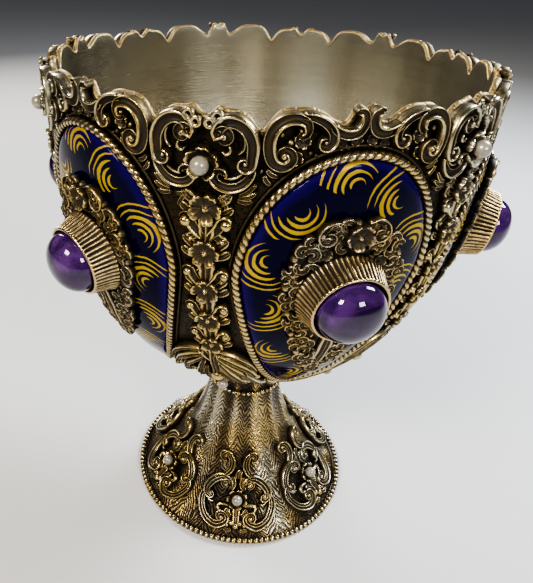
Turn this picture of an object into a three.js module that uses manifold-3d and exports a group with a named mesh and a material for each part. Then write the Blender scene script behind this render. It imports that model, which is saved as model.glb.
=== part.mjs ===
// A footed chalice: a gilt cup with a scrolled crest, six enamel medallions that each carry a
// cabochon in a fluted collar, flower garlands between them, and a trumpet foot with six
// openwork castings. Millimetres, +Z up, origin under the middle of the foot. One medallion
// faces -Y.
import * as THREE from 'three'
import { mergeVertices } from 'three/addons/utils/BufferGeometryUtils.js'
import Module from 'manifold-3d'

const wasm = await Module()
wasm.setup()

// Driving dimensions
const sectors = 6              // medallions round the cup, castings round the foot
const clearance = 0.3          // gap between pieces that rest on or in each other
const lift = 0.6               // of flat pieces off a wall, over the edges of its facets

const cup = {
  rimRadius: 50.4,             // outside of the plain wall at the rim
  rimHeight: 134,              // level of the notches between the crest's scrolls
  bottomHeight: 53,            // level where the rounded outside would close
  fullness: 2.7,               // exponent of the rounded profile
  wall: 1.4,
  seatRadius: 11,              // flat disc under the cup, on the foot
}
const castingThickness = 1.5   // of the scrolls and garlands on the cup and the openwork on the foot
const scrollBand = 1.7         // width of the scrolls' bands

const foot = {
  edgeRadius: 34.2,
  restWidth: 1.8,              // flat ring that it stands on
  stemRadius: 10.8,
  flareHeight: 50,             // level where the flare has become the straight stem
  flareExponent: 2.5,
  wall: 1.4,
  topPlate: 2,
  ridges: 12,                  // soft facets of the stem
  ridgeRelief: 0.35,
  ridgeRise: [20, 32],         // levels between which the ridges grow out of the flare
  turn: -18,                   // degrees from a medallion to the nearest foot casting
}
const beadRadius = 0.9         // beaded wire round the foot's edge

const medallion = {
  centreDrop: 27.3,            // from the notch level down the wall to its widest place
  halfWidth: 20.3,
  upperHeight: 25.3,
  lowerHeight: 45,
  ropeRadius: 0.75,
  enamelThickness: 1.2,
}
const filigree = {
  centreDrop: 26,
  halfWidth: 12.4,
  upperHeight: 13.4,
  lowerHeight: 30,
  scallops: 4,
  scallopDepth: 0.8,
  thickness: 0.9,
}
const collar = {               // the fluted collar that holds a cabochon
  drop: 29.5,                  // from the notch level down the wall to its axis
  baseRadius: 9.1,
  rimRadius: 7.7,
  height: 5,
  lip: 0.8,
  seatDepth: 1.8,
  fluteDepth: 0.35,
}
const stoneHeight = 5.3        // how far a cabochon stands above its collar

const pearlRadius = 1.65
const rimPearlDrop = 4.9
const footPearlRise = 12.3

const garland = {
  flowerRadius: 2.9,
  flowerHeight: 1.2,
  drops: [13.2, 22.3, 31.2, 39.8, 48],   // flowers, down the wall from the notch level
  halfWidth: 4.1,
  topDrop: 2,
  bottomDrop: 78,
  beadRadius: 1.9,             // the bead that ends it near the neck
}

// Facets of the round pieces
const cupColumns = 36
const cupRows = 6
const crestColumns = 96
const frameSteps = 20
const ropeSides = 3
const collarSides = 10
const footColumns = 24
const footRows = 5
const beadSteps = 36
const shortestCrease = 10         // shorter edges of a casting stay straight

const sectorAngle = (2 * Math.PI) / sectors
const halfPitch = (sectorAngle * cup.rimRadius) / 2

// Lobes of the crest. Places and half widths are shares of the way along the rim from a
// medallion's axis to a pearl's, and rises are above the notches.
const crestLobes = [
  { at: 0.42, half: 0.25, rise: 4.8 },
  { at: 0.1, half: 0.09, rise: 4.8 },
  { at: 0, half: 0.27, rise: 1.9 },
  { at: 0.78, half: 0.12, rise: 2.7 },
  { at: 0.905, half: 0.083, rise: 4.6 },
  { at: 1, half: 0.115, rise: 2.6 },
]

// Boxes that the scrolls of the crest fill: left and right edge as shares of that way from
// the pearl's axis, then the lowest and highest level against the notches
const crestScrolls = {
  pearl: { left: -0.34, right: -0.06, low: -9.2, high: 1.6, turn: 5.4, steps: 5, opens: -0.5 },
  lobe: { left: -0.66, right: -0.335, low: -4.2, high: 4, turn: 5.2, steps: 5, opens: 0.5 },
  curl: { left: -0.95, right: -0.635, low: 0.9, high: 4, turn: 4.4, steps: 4, opens: 0.04 },
}

// The same for the castings of the foot, in millimetres from the pearl
const footScrolls = {
  side: { left: -11.3, right: -1.6, low: -8.9, high: 6.8, turn: 5.2, steps: 5, opens: -0.5 },
  horn: { left: -5.2, right: -1.2, low: 5.2, high: 14.6, turn: 4.2, steps: 4, opens: 0.32 },
}
const footLeaf = { width: 5.6, above: 3, below: 8.6, squareness: 0.9 }

// Solids and meshes
function weld(geometry) {
  const bare = geometry.clone()
  bare.deleteAttribute('normal')
  bare.deleteAttribute('uv')
  const welded = mergeVertices(bare, 1e-4)
  const index = welded.index.array
  const kept = []
  for (let i = 0; i < index.length; i += 3) {
    const [a, b, c] = [index[i], index[i + 1], index[i + 2]]
    if (a !== b && b !== c && c !== a) kept.push(a, b, c)
  }
  welded.setIndex(kept)
  return signedVolume(welded) < 0 ? flipped(welded) : welded
}

function signedVolume(geometry) {
  const position = geometry.attributes.position
  const index = geometry.index.array
  const [a, b, c] = [new THREE.Vector3(), new THREE.Vector3(), new THREE.Vector3()]
  let sum = 0
  for (let i = 0; i < index.length; i += 3) {
    a.fromBufferAttribute(position, index[i])
    b.fromBufferAttribute(position, index[i + 1])
    c.fromBufferAttribute(position, index[i + 2])
    sum += a.dot(b.cross(c)) / 6
  }
  return sum
}

function flipped(geometry) {
  const index = Array.from(geometry.index.array)
  for (let i = 0; i < index.length; i += 3) [index[i], index[i + 1]] = [index[i + 1], index[i]]
  geometry.setIndex(index)
  return geometry
}

function solid(geometry) {
  const welded = weld(geometry)
  return new wasm.Manifold(new wasm.Mesh({
    numProp: 3,
    vertProperties: new Float32Array(welded.attributes.position.array),
    triVerts: new Uint32Array(welded.index.array),
  }))
}

function meshOf(body) {
  const mesh = body.getMesh()
  const geometry = new THREE.BufferGeometry()
  geometry.setAttribute('position', new THREE.BufferAttribute(mesh.vertProperties, mesh.numProp))
  geometry.setIndex(Array.from(mesh.triVerts))
  return geometry
}

function joined(geometries) {
  return geometries.map(solid).reduce((sum, next) => sum.add(next))
}

function moved(geometry, place) {
  const copy = geometry.clone()
  const position = copy.attributes.position
  const point = new THREE.Vector3()
  for (let i = 0; i < position.count; i++) {
    point.fromBufferAttribute(position, i)
    place(point)
    position.setXYZ(i, point.x, point.y, point.z)
  }
  return copy
}

// Splits every edge longer than `shortest` where it crosses the plane on which one
// coordinate has the given value, so that a flat solid can be bent along that plane
function creased(geometry, axis, value, shortest) {
  const positions = Array.from(geometry.attributes.position.array)
  const made = new Map()
  const crossing = (a, b) => {
    const key = a < b ? `${a} ${b}` : `${b} ${a}`
    if (made.has(key)) return made.get(key)
    const [from, to] = [positions[3 * a + axis], positions[3 * b + axis]]
    const share = (value - from) / (to - from)
    const reach = [0, 1, 2].map((k) => positions[3 * b + k] - positions[3 * a + k])
    const crosses = share > 0.01 && share < 0.99 && Math.hypot(...reach) > shortest
    made.set(key, crosses ? positions.length / 3 : -1)
    if (crosses) positions.push(...reach.map((way, k) => positions[3 * a + k] + share * way))
    return made.get(key)
  }
  const index = []
  const old = geometry.index.array
  for (let i = 0; i < old.length; i += 3) {
    const corners = [old[i], old[i + 1], old[i + 2]]
    const cuts = corners.map((corner, k) => crossing(corner, corners[(k + 1) % 3]))
    const first = cuts.findIndex((cut, k) => cut >= 0 && cuts[(k + 2) % 3] < 0)
    if (first < 0) {
      index.push(...corners)
      continue
    }
    const [a, b, c] = [0, 1, 2].map((k) => corners[(first + k) % 3])
    const [ab, bc] = [cuts[first], cuts[(first + 1) % 3]]
    if (bc < 0) index.push(a, ab, c, ab, b, c)
    else index.push(ab, b, bc, a, ab, bc, a, bc, c)
  }
  const split = new THREE.BufferGeometry()
  split.setAttribute('position', new THREE.BufferAttribute(new Float32Array(positions), 3))
  split.setIndex(index)
  return split
}

// Which of the equal steps round the Z axis a point is on, from 0 at +X
function stepAround(point, steps) {
  return (Math.round((Math.atan2(point.y, point.x) / (2 * Math.PI)) * steps) + steps) % steps
}

function turnedProfile(profile, columns) {
  const points = profile.map(([radius, height]) => new THREE.Vector2(radius, height))
  return new THREE.LatheGeometry(points, columns).rotateX(Math.PI / 2).rotateZ(Math.PI / 2)
}

// Walls as charts: a point x along the wall, `along` it from a reference level, and
// `off` it, goes to its place in space. Both walls are solids of revolution, and the chart
// follows their facets, so that pieces laid on them keep an even gap.
function withNormals(rows, fixedLast) {
  const last = rows.length - 1
  return rows.map(([r, z], i) => {
    const [before, after] = [rows[Math.max(i - 1, 0)], rows[Math.min(i + 1, last)]]
    const length = Math.hypot(after[0] - before[0], after[1] - before[1])
    if (fixedLast && i === last) return { r, z, outR: 1, outZ: 0 }
    return { r, z, outR: (after[1] - before[1]) / length, outZ: -(after[0] - before[0]) / length }
  })
}

function chartOf(rows, startAt, columns) {
  const table = rows.map((row) => ({ ...row, along: startAt }))
  for (let i = 1; i < table.length; i++) {
    const [a, b] = [table[i - 1], table[i]]
    b.along = a.along + Math.hypot(b.r - a.r, b.z - a.z)
  }
  const column = (2 * Math.PI) / columns
  const frame = (along) => {
    const found = table.findIndex((row) => row.along > along)
    const i = found < 0 ? table.length - 2 : Math.max(found - 1, 0)
    const [a, b] = [table[i], table[i + 1]]
    const part = (along - a.along) / (b.along - a.along)
    const mix = (key) => a[key] + (b[key] - a[key]) * part
    return { r: mix('r'), z: mix('z'), outR: mix('outR'), outZ: mix('outZ') }
  }
  const place = (point, x, along, off, angle = 0) => {
    const { r, z, outR, outZ } = frame(along)
    const turn = angle + x / r
    const inColumn = turn - column * Math.round(turn / column)
    const radius = ((r + off * outR) * Math.cos(column / 2)) / Math.cos(inColumn)
    return point.set(radius * Math.sin(turn), -radius * Math.cos(turn), z + off * outZ)
  }
  return { table, column, frame, place }
}

// The cup's outside from its seat up to the rim: radius is the cosine and depth the sine
// of one running angle, raised so that the profile has the cup's fullness.
const crestTop = Math.max(...crestLobes.map((lobe) => lobe.rise)) + 1
const seatAngle = Math.acos(cup.seatRadius / cup.rimRadius)

function cupOutside() {
  const depth = cup.rimHeight - cup.bottomHeight
  const rows = []
  for (let i = 0; i <= cupRows; i++) {
    const angle = seatAngle * (1 - i / cupRows)
    const r = cup.rimRadius * Math.cos(angle)
    const z = cup.rimHeight - depth * Math.sin(angle) ** (2 / cup.fullness)
    rows.push([r, z])
  }
  return withNormals(rows, true)
}

function offset(rows, off) {
  return rows.map(({ r, z, outR, outZ }) => [r + off * outR, z + off * outZ])
}

const cupOuter = cupOutside()
const seatHeight = cupOuter[0].z
const wallLength = chartOf(cupOuter, 0, cupColumns).table.at(-1).along
const aboveRim = { r: cup.rimRadius, z: cup.rimHeight + crestTop, outR: 1, outZ: 0 }
const cupChart = chartOf([...cupOuter, aboveRim], -wallLength, cupColumns)

// The foot: a stem that flares to the edge
const footTop = seatHeight - clearance

function footRadius(z) {
  const left = Math.max(0, 1 - z / foot.flareHeight)
  return foot.stemRadius + (foot.edgeRadius - foot.stemRadius) * left ** foot.flareExponent
}

function footOutside() {
  const rows = []
  for (let i = 0; i <= footRows; i++) {
    const z = footTop * (i / footRows) ** 1.5
    rows.push([footRadius(z), z])
  }
  return withNormals(rows, true)
}

const footOuter = footOutside()
const footChart = chartOf(footOuter, 0, footColumns)

// Outlines
function eggOutline(shape, inset, steps) {
  const points = []
  for (let i = 0; i < steps; i++) {
    const angle = (2 * Math.PI * i) / steps
    const [c, s] = [Math.cos(angle), Math.sin(angle)]
    const y = s * ((s > 0 ? shape.upperHeight : shape.lowerHeight) - inset)
    const x = Math.abs(c) < 1e-9 ? 0 : Math.sign(c) * eggHalfWidth(shape, inset, y - shape.centreDrop)
    points.push([x, y])
  }
  return points
}

// A scroll's middle line: the heading turns slowly in the middle and fast at both ends,
// and the points are closer where it turns more
function scrollLine(turn, steps) {
  const fine = 400
  const bends = []
  for (let i = 0; i < fine; i++) {
    const s = (i + 0.5) / fine
    bends.push(1 + 5 * Math.abs(2 * s - 1) ** 3)
  }
  const total = bends.reduce((sum, bend) => sum + bend)
  let heading = -turn / 2
  let passed = 0
  const point = [0, 0]
  const line = [[0, 0]]
  for (const bend of bends) {
    heading += (turn * bend) / total
    point[0] += Math.cos(heading)
    point[1] += Math.sin(heading)
    passed += 0.35 / fine + (0.65 * bend) / total
    if (passed >= line.length / steps - 1e-9) line.push([...point])
  }
  return line
}

// A scroll turned to its opening side (half turns), then stretched into its box
function fitted({ left, right, low, high, turn, steps, opens }, unit) {
  const [c, s] = [Math.cos(opens * Math.PI), Math.sin(opens * Math.PI)]
  const turned = scrollLine(turn, steps).map(([x, y]) => [c * x - s * y, s * x + c * y])
  const [xs, ys] = [turned.map((p) => p[0]), turned.map((p) => p[1])]
  const [x0, x1, y0, y1] = [Math.min(...xs), Math.max(...xs), Math.min(...ys), Math.max(...ys)]
  return turned.map(([x, y]) => [
    unit * (left + ((x - x0) / (x1 - x0)) * (right - left)),
    low + ((y - y0) / (y1 - y0)) * (high - low),
  ])
}

// A band of the given width along a line, thinner at both ends
function bandShape(line, width) {
  const [one, two] = [[], []]
  line.forEach(([x, y], i) => {
    const [before, after] = [line[Math.max(i - 1, 0)], line[Math.min(i + 1, line.length - 1)]]
    const length = Math.hypot(after[0] - before[0], after[1] - before[1])
    const end = Math.abs((2 * i) / (line.length - 1) - 1)
    const half = (width / 2) * (1 - 0.3 * end ** 4)
    const [nx, ny] = [(-(after[1] - before[1]) / length) * half, ((after[0] - before[0]) / length) * half]
    one.push(new THREE.Vector2(x + nx, y + ny))
    two.unshift(new THREE.Vector2(x - nx, y - ny))
  })
  return new THREE.Shape([...one, ...two])
}

function polygon(points) {
  return new THREE.Shape(points.map(([x, y]) => new THREE.Vector2(x, y)))
}

function mirrored(line) {
  return line.map(([x, y]) => [-x, y])
}

function bothSides(scrolls, unit) {
  return Object.values(scrolls).flatMap((scroll) => {
    const line = fitted(scroll, unit)
    return [line, mirrored(line)]
  })
}

// A plate that lies on the cup's wall. Its rows are at the wall's own levels and at
// `extra` ones, and its columns on the wall's facet edges, up to the outline's half width.
function wallPlate(shape, halfWidthAt, extra, low, high) {
  const [bottom, top] = [-shape.centreDrop - shape.lowerHeight, -shape.centreDrop + shape.upperHeight]
  const inside = [...cupChart.table.map((row) => row.along), ...extra]
  const levels = [bottom, ...inside.filter((y) => y > bottom && y < top), top].sort((a, b) => a - b)
  const inColumns = (level) => halfWidthAt(level) / (cupChart.column * cupChart.frame(level).r)
  const columns = Math.ceil(Math.max(...levels.map(inColumns)) + 0.5)
  const positions = []
  const across = 2 * columns
  for (const off of [high, low]) {
    for (const level of levels) {
      const { r } = cupChart.frame(level)
      const half = halfWidthAt(level)
      for (let j = 0; j < across; j++) {
        const line = (j + 0.5 - columns) * cupChart.column * r
        const x = j === 0 ? -half : j === across - 1 ? half : THREE.MathUtils.clamp(line, -half, half)
        positions.push(...cupChart.place(new THREE.Vector3(), x, level, off).toArray())
      }
    }
  }
  const side = levels.length * across
  const index = []
  const quad = (a, b, c, d) => index.push(a, b, c, a, c, d)
  for (let i = 0; i + 1 < levels.length; i++) {
    const [row, next] = [i * across, (i + 1) * across]
    for (let j = 0; j + 1 < across; j++) {
      quad(row + j, row + j + 1, next + j + 1, next + j)
      quad(side + row + j, side + next + j, side + next + j + 1, side + row + j + 1)
    }
    quad(row, next, side + next, side + row)
    quad(row + across - 1, side + row + across - 1, side + next + across - 1, next + across - 1)
  }
  const geometry = new THREE.BufferGeometry()
  geometry.setAttribute('position', new THREE.BufferAttribute(new Float32Array(positions), 3))
  geometry.setIndex(index)
  return weld(geometry)
}

// Half width of an egg outline at a level of the wall
function eggHalfWidth(shape, inset, level) {
  const rise = level + shape.centreDrop
  if (rise >= 0) {
    const share = Math.min(1, rise / (shape.upperHeight - inset))
    return (shape.halfWidth - inset) * Math.sqrt(1 - share * share)
  }
  const share = Math.min(1, -rise / (shape.lowerHeight - inset))
  return (shape.halfWidth - inset) * (1 - share ** 1.3) ** 0.7
}

function plate(shape) {
  return new THREE.ExtrudeGeometry(shape, { depth: castingThickness, bevelEnabled: false })
}

// The pieces of the cup
function crestHeight(x) {
  const heights = crestLobes.map(({ at, half, rise }) => {
    const share = (Math.abs(x) / halfPitch - at) / half
    return Math.abs(share) < 1 ? rise * Math.sqrt(1 - share * share) : 0
  })
  return Math.max(0, ...heights)
}

function crestCutter() {
  const [inner, outer] = [cup.rimRadius - 3 * cup.wall, cup.rimRadius + 3 * cup.wall]
  const top = cup.rimHeight + 2 * crestTop
  const low = cup.rimHeight
  const ring = turnedProfile([[inner, low], [outer, low], [outer, top], [inner, top], [inner, low]], crestColumns)
  return moved(ring, (p) => {
    if (p.z > low + 1) return
    const angle = Math.atan2(p.x, -p.y)
    const inSector = angle - sectorAngle * Math.round(angle / sectorAngle)
    p.z = low + crestHeight(inSector * cup.rimRadius)
  })
}

function cupBody() {
  const inside = offset(cupOuter, -cup.wall).slice(1)
  const top = cup.rimHeight + crestTop
  const floor = seatHeight + cup.wall
  const blank = turnedProfile([
    [0, seatHeight],
    ...offset(cupOuter, 0),
    [cup.rimRadius, top],
    [cup.rimRadius - cup.wall, top],
    ...inside.reverse(),
    [cup.seatRadius, floor],
    [0, floor],
  ], cupColumns)
  return meshOf(solid(weld(blank).rotateZ(cupChart.column / 2)).subtract(solid(crestCutter())))
}

// A garland's leafy strip: its edge swings out at each leaf, between the flowers
function garlandStrip() {
  const steps = 9
  const [right, left] = [[], []]
  for (let i = 0; i <= steps; i++) {
    const share = i / steps
    const y = -garland.topDrop - share * (garland.bottomDrop - garland.topDrop)
    const swing = i % 2 === 0 ? 0.72 : 1
    const half = garland.halfWidth * swing * (1 - 0.45 * share)
    right.push([half, y])
    left.unshift([-half, y])
  }
  return polygon([...right, ...left])
}

// A flower or a bead: a low star or cone that rises from the face of the casting
function flower(drop, radius, petals, valley) {
  const foundation = -castingThickness / 8
  const star = turnedProfile([[0, foundation], [1, foundation], [0, garland.flowerHeight]], petals * 2)
  return moved(star, (p) => {
    const reach = stepAround(p, 2 * petals) % 2 === 1 ? radius * valley : radius
    p.set(reach * p.x, reach * p.y - drop, castingThickness + p.z)
  })
}

// One casting: the crest's scrolls from one medallion's axis to the next, round a pearl's
// rosette, and the garland that hangs from them. It is made flat and bent onto the wall.
function garlandFlat() {
  const lines = bothSides(crestScrolls, halfPitch)
  const pieces = [
    plate(garlandStrip()),
    ...lines.map((line) => plate(bandShape(line, scrollBand))),
    ...garland.drops.map((drop, step) => flower(drop, garland.flowerRadius * (1 - 0.07 * step), 5, 0.6)),
    flower(garland.bottomDrop - garland.beadRadius, garland.beadRadius, 3, 1),
  ]
  return meshOf(joined(pieces))
}

// A flat casting creased on the wall's own facet edges and bent onto it, `shift` up the wall
function bentOnto(chart, flat, shift) {
  const body = chart.table.reduce((part, row) => creased(part, 1, row.along - shift, shortestCrease), flat)
  return moved(body, (p) => chart.place(p, p.x, p.y + shift, lift + p.z))
}

const enamelLow = lift
const enamelHigh = enamelLow + medallion.enamelThickness
const filigreeLow = enamelHigh + lift
const filigreeHigh = filigreeLow + filigree.thickness
const collarLow = filigreeHigh + clearance
const enamelInset = 2 * medallion.ropeRadius + clearance

function insetEgg(shape, inset) {
  return {
    ...shape,
    halfWidth: shape.halfWidth - inset,
    upperHeight: shape.upperHeight - inset,
    lowerHeight: shape.lowerHeight - inset,
  }
}

function enamelPlaque() {
  const outline = insetEgg(medallion, enamelInset)
  const extra = [0.45, 0.72, 0.9, 0.98].map((share) => outline.upperHeight * share - medallion.centreDrop)
  extra.push(-medallion.centreDrop, -medallion.centreDrop - outline.lowerHeight * 0.96)
  return wallPlate(outline, (level) => eggHalfWidth(outline, 0, level), extra, enamelLow, enamelHigh)
}

function filigreeMount() {
  const { centreDrop, upperHeight, lowerHeight, scallops, scallopDepth } = filigree
  const extra = []
  for (let i = 1; i < 2 * scallops; i++) {
    extra.push(-centreDrop - lowerHeight + ((upperHeight + lowerHeight) * i) / (2 * scallops))
  }
  const edge = (level) => {
    const share = (level + centreDrop + lowerHeight) / (upperHeight + lowerHeight)
    return scallopDepth * Math.cos(share * scallops * 2 * Math.PI)
  }
  const halfWidth = (level) => {
    const half = eggHalfWidth(filigree, 0, level)
    return half > 2 * scallopDepth ? half + edge(level) - scallopDepth : half
  }
  return wallPlate(filigree, halfWidth, extra, filigreeLow, filigreeHigh)
}

// A rope: a ring round the egg outline, thick and thin by turns
function ropeFrame() {
  const outline = eggOutline(medallion, medallion.ropeRadius, frameSteps)
  const ring = new THREE.TorusGeometry(2, 1, ropeSides, frameSteps)
  return weld(moved(ring, (p) => {
    const step = stepAround(p, frameSteps)
    const at = outline[step]
    const before = outline[(step + frameSteps - 1) % frameSteps]
    const after = outline[(step + 1) % frameSteps]
    const length = Math.hypot(after[0] - before[0], after[1] - before[1])
    const [outX, outY] = [(after[1] - before[1]) / length, -(after[0] - before[0]) / length]
    const radius = medallion.ropeRadius * (step % 2 === 0 ? 1 : 0.85)
    const sideways = (Math.hypot(p.x, p.y) - 2) * radius
    const off = lift + medallion.ropeRadius + p.z * radius
    cupChart.place(p, at[0] + outX * sideways, -medallion.centreDrop + at[1] + outY * sideways, off)
  }))
}

function collarGeometry() {
  const { baseRadius, rimRadius, height, lip, seatDepth, fluteDepth } = collar
  const seat = rimRadius - lip
  const ring = turnedProfile([
    [0, 0],
    [baseRadius, 0],
    [rimRadius, height],
    [seat, height],
    [seat, height - seatDepth],
    [0, height - seatDepth],
  ], collarSides)
  return weld(moved(ring, (p) => {
    const radius = Math.hypot(p.x, p.y)
    const onOutside = radius > seat + 0.5 * lip
    const inFlute = stepAround(p, collarSides) % 2 === 1
    const share = onOutside && inFlute ? 1 - fluteDepth / radius : 1
    p.set(p.x * share, p.y * share, p.z)
  }))
}

function stoneGeometry() {
  const radius = collar.rimRadius - collar.lip - clearance
  const girdle = collar.seatDepth - clearance
  const rows = [[0, 0], [radius, 0]]
  const steps = 2
  for (let i = 0; i < steps; i++) {
    const angle = (Math.PI / 2) * (i / steps)
    rows.push([radius * Math.cos(angle), girdle + stoneHeight * Math.sin(angle)])
  }
  rows.push([0, girdle + stoneHeight])
  return weld(turnedProfile(rows, collarSides))
}

// The pieces of the foot
function footBody() {
  const ceiling = footTop - foot.topPlate
  const wall = offset(footOuter, -foot.wall).slice(1).map(([r, z]) => [r, Math.min(z, ceiling)])
  const blank = turnedProfile([
    [0, footTop],
    ...offset(footOuter, 0).reverse(),
    [foot.edgeRadius - foot.restWidth, 0],
    ...wall,
    [0, ceiling],
  ], footColumns)
  return weld(moved(blank, (p) => {
    const radius = Math.hypot(p.x, p.y)
    if (radius < footRadius(p.z) - foot.wall / 2) return
    const onRidge = stepAround(p, footColumns) % (footColumns / foot.ridges) === 0
    const onStem = p.z < footTop - 1 ? THREE.MathUtils.smoothstep(p.z, ...foot.ridgeRise) : 0
    const share = 1 + ((onRidge ? foot.ridgeRelief : 0) * onStem) / radius
    p.set(p.x * share, p.y * share, p.z)
  }))
}

function beadedEdge() {
  const ring = new THREE.TorusGeometry(2, 1, ropeSides, beadSteps)
  const middle = foot.edgeRadius + clearance + beadRadius
  return weld(moved(ring, (p) => {
    const angle = Math.atan2(p.y, p.x)
    const radius = beadRadius * (stepAround(p, beadSteps) % 2 === 0 ? 1 : 0.85)
    const reach = middle + (Math.hypot(p.x, p.y) - 2) * radius
    p.set(reach * Math.cos(angle), reach * Math.sin(angle), beadRadius + clearance + p.z * radius)
  }))
}

function footCastingFlat() {
  const { width, above, below, squareness } = footLeaf
  const side = [[width / 2, above / 2], [width / 2, -squareness * below]]
  const leaf = polygon([[0, above], ...mirrored(side), [0, -below], ...side.reverse()])
  const lines = bothSides(footScrolls, 1)
  const shapes = [leaf, ...lines.map((line) => bandShape(line, scrollBand))]
  return meshOf(joined(shapes.map(plate)))
}

// Materials
const finish = (color, roughness, metalness) => new THREE.MeshStandardMaterial({ color, roughness, metalness })
const giltSilver = finish(0x9a7d46, 0.38, 1)
const paleGilt = finish(0xc9a45c, 0.3, 1)
const blueEnamel = finish(0x100a5c, 0.08, 0)
const violetStone = finish(0x4a1a8a, 0.05, 0)
const nacre = finish(0xe9dfd2, 0.25, 0)

// The whole
const group = new THREE.Group()

function add(parent, name, geometry, material) {
  const mesh = new THREE.Mesh(geometry, material)
  mesh.name = name
  parent.add(mesh)
  return mesh
}

// A group whose +Z stands square on a wall at one place, lifted off it
function standOn(chart, along, off) {
  const { r, z, outR, outZ } = chart.frame(along)
  const holder = new THREE.Group()
  holder.position.set(0, -(r + off * outR), z + off * outZ)
  holder.rotation.x = Math.PI / 2 - Math.atan2(outZ, outR)
  return holder
}

add(group, 'cup', cupBody(), giltSilver)
const footTurn = THREE.MathUtils.degToRad(foot.turn)
add(group, 'foot', footBody(), giltSilver).rotation.z = footTurn + footChart.column / 2
add(group, 'foot_beaded_edge', beadedEdge(), paleGilt)

const shared = {
  garland: bentOnto(cupChart, garlandFlat(), 0),
  rope: ropeFrame(),
  enamel: enamelPlaque(),
  filigree: filigreeMount(),
  collar: collarGeometry(),
  stone: stoneGeometry(),
  pearl: weld(new THREE.IcosahedronGeometry(pearlRadius, 0)),
  casting: bentOnto(footChart, footCastingFlat(), footPearlRise),
}

const pearlOff = lift + castingThickness + clearance + pearlRadius

for (let i = 0; i < sectors; i++) {
  const number = i + 1
  const sector = new THREE.Group()
  sector.rotation.z = i * sectorAngle
  group.add(sector)
  add(sector, `rope_frame_${number}`, shared.rope, paleGilt)
  add(sector, `enamel_plaque_${number}`, shared.enamel, blueEnamel)
  add(sector, `filigree_mount_${number}`, shared.filigree, giltSilver)

  const collarPlace = standOn(cupChart, -collar.drop, collarLow)
  sector.add(collarPlace)
  add(collarPlace, `stone_collar_${number}`, shared.collar, paleGilt)
  const stone = add(collarPlace, `amethyst_${number}`, shared.stone, violetStone)
  stone.position.z = collar.height - collar.seatDepth + clearance

  const between = new THREE.Group()
  between.rotation.z = sectorAngle / 2
  sector.add(between)
  add(between, `garland_casting_${number}`, shared.garland, giltSilver)
  const rimPlace = standOn(cupChart, -rimPearlDrop, pearlOff)
  between.add(rimPlace)
  add(rimPlace, `rim_pearl_${number}`, shared.pearl, nacre)

  const onFoot = new THREE.Group()
  onFoot.rotation.z = i * sectorAngle + footTurn
  group.add(onFoot)
  add(onFoot, `foot_casting_${number}`, shared.casting, giltSilver)
  const footPlace = standOn(footChart, footPearlRise, pearlOff)
  onFoot.add(footPlace)
  add(footPlace, `foot_pearl_${number}`, shared.pearl, nacre)
}

export default group
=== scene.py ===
"""The looks of a gilt chalice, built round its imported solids.

The chalice has a scrolled rim, six enamel medallions that each carry a violet cabochon in a
fluted collar, cast garlands between them, and a trumpet foot with openwork castings. Lengths
in this file are millimetres until a mesh is made, which is where they become metres. Flat work
is drawn on an unrolled wall: x runs round the object, y up the wall and the third number is
how far a point stands off it.
"""

import logging
import math
from dataclasses import dataclass, field
from enum import Enum
from typing import Any, Callable, Sequence

import bpy
import numpy as np
from mathutils import Matrix


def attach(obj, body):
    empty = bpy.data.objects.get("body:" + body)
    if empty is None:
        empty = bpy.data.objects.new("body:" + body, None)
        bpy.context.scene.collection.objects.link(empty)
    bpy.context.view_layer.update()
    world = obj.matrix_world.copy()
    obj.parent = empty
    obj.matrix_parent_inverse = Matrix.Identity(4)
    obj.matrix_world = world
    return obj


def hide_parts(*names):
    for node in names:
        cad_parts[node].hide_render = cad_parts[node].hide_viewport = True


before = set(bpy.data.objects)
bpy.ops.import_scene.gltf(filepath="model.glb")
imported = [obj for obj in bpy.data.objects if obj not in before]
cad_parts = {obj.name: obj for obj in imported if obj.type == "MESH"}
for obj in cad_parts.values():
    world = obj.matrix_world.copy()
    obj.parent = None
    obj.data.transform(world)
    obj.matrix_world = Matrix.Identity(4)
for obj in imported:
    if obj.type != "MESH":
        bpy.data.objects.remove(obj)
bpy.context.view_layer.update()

log = logging.getLogger("chalice")

MM = 0.001
SECTORS = 6
WELD_DECIMALS = 4

TURN = 2 * math.pi
SECTOR = TURN / SECTORS

Array = np.ndarray
Point = tuple[float, float]
Line = tuple[Point, ...]
Colour = tuple[float, float, float]


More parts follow.
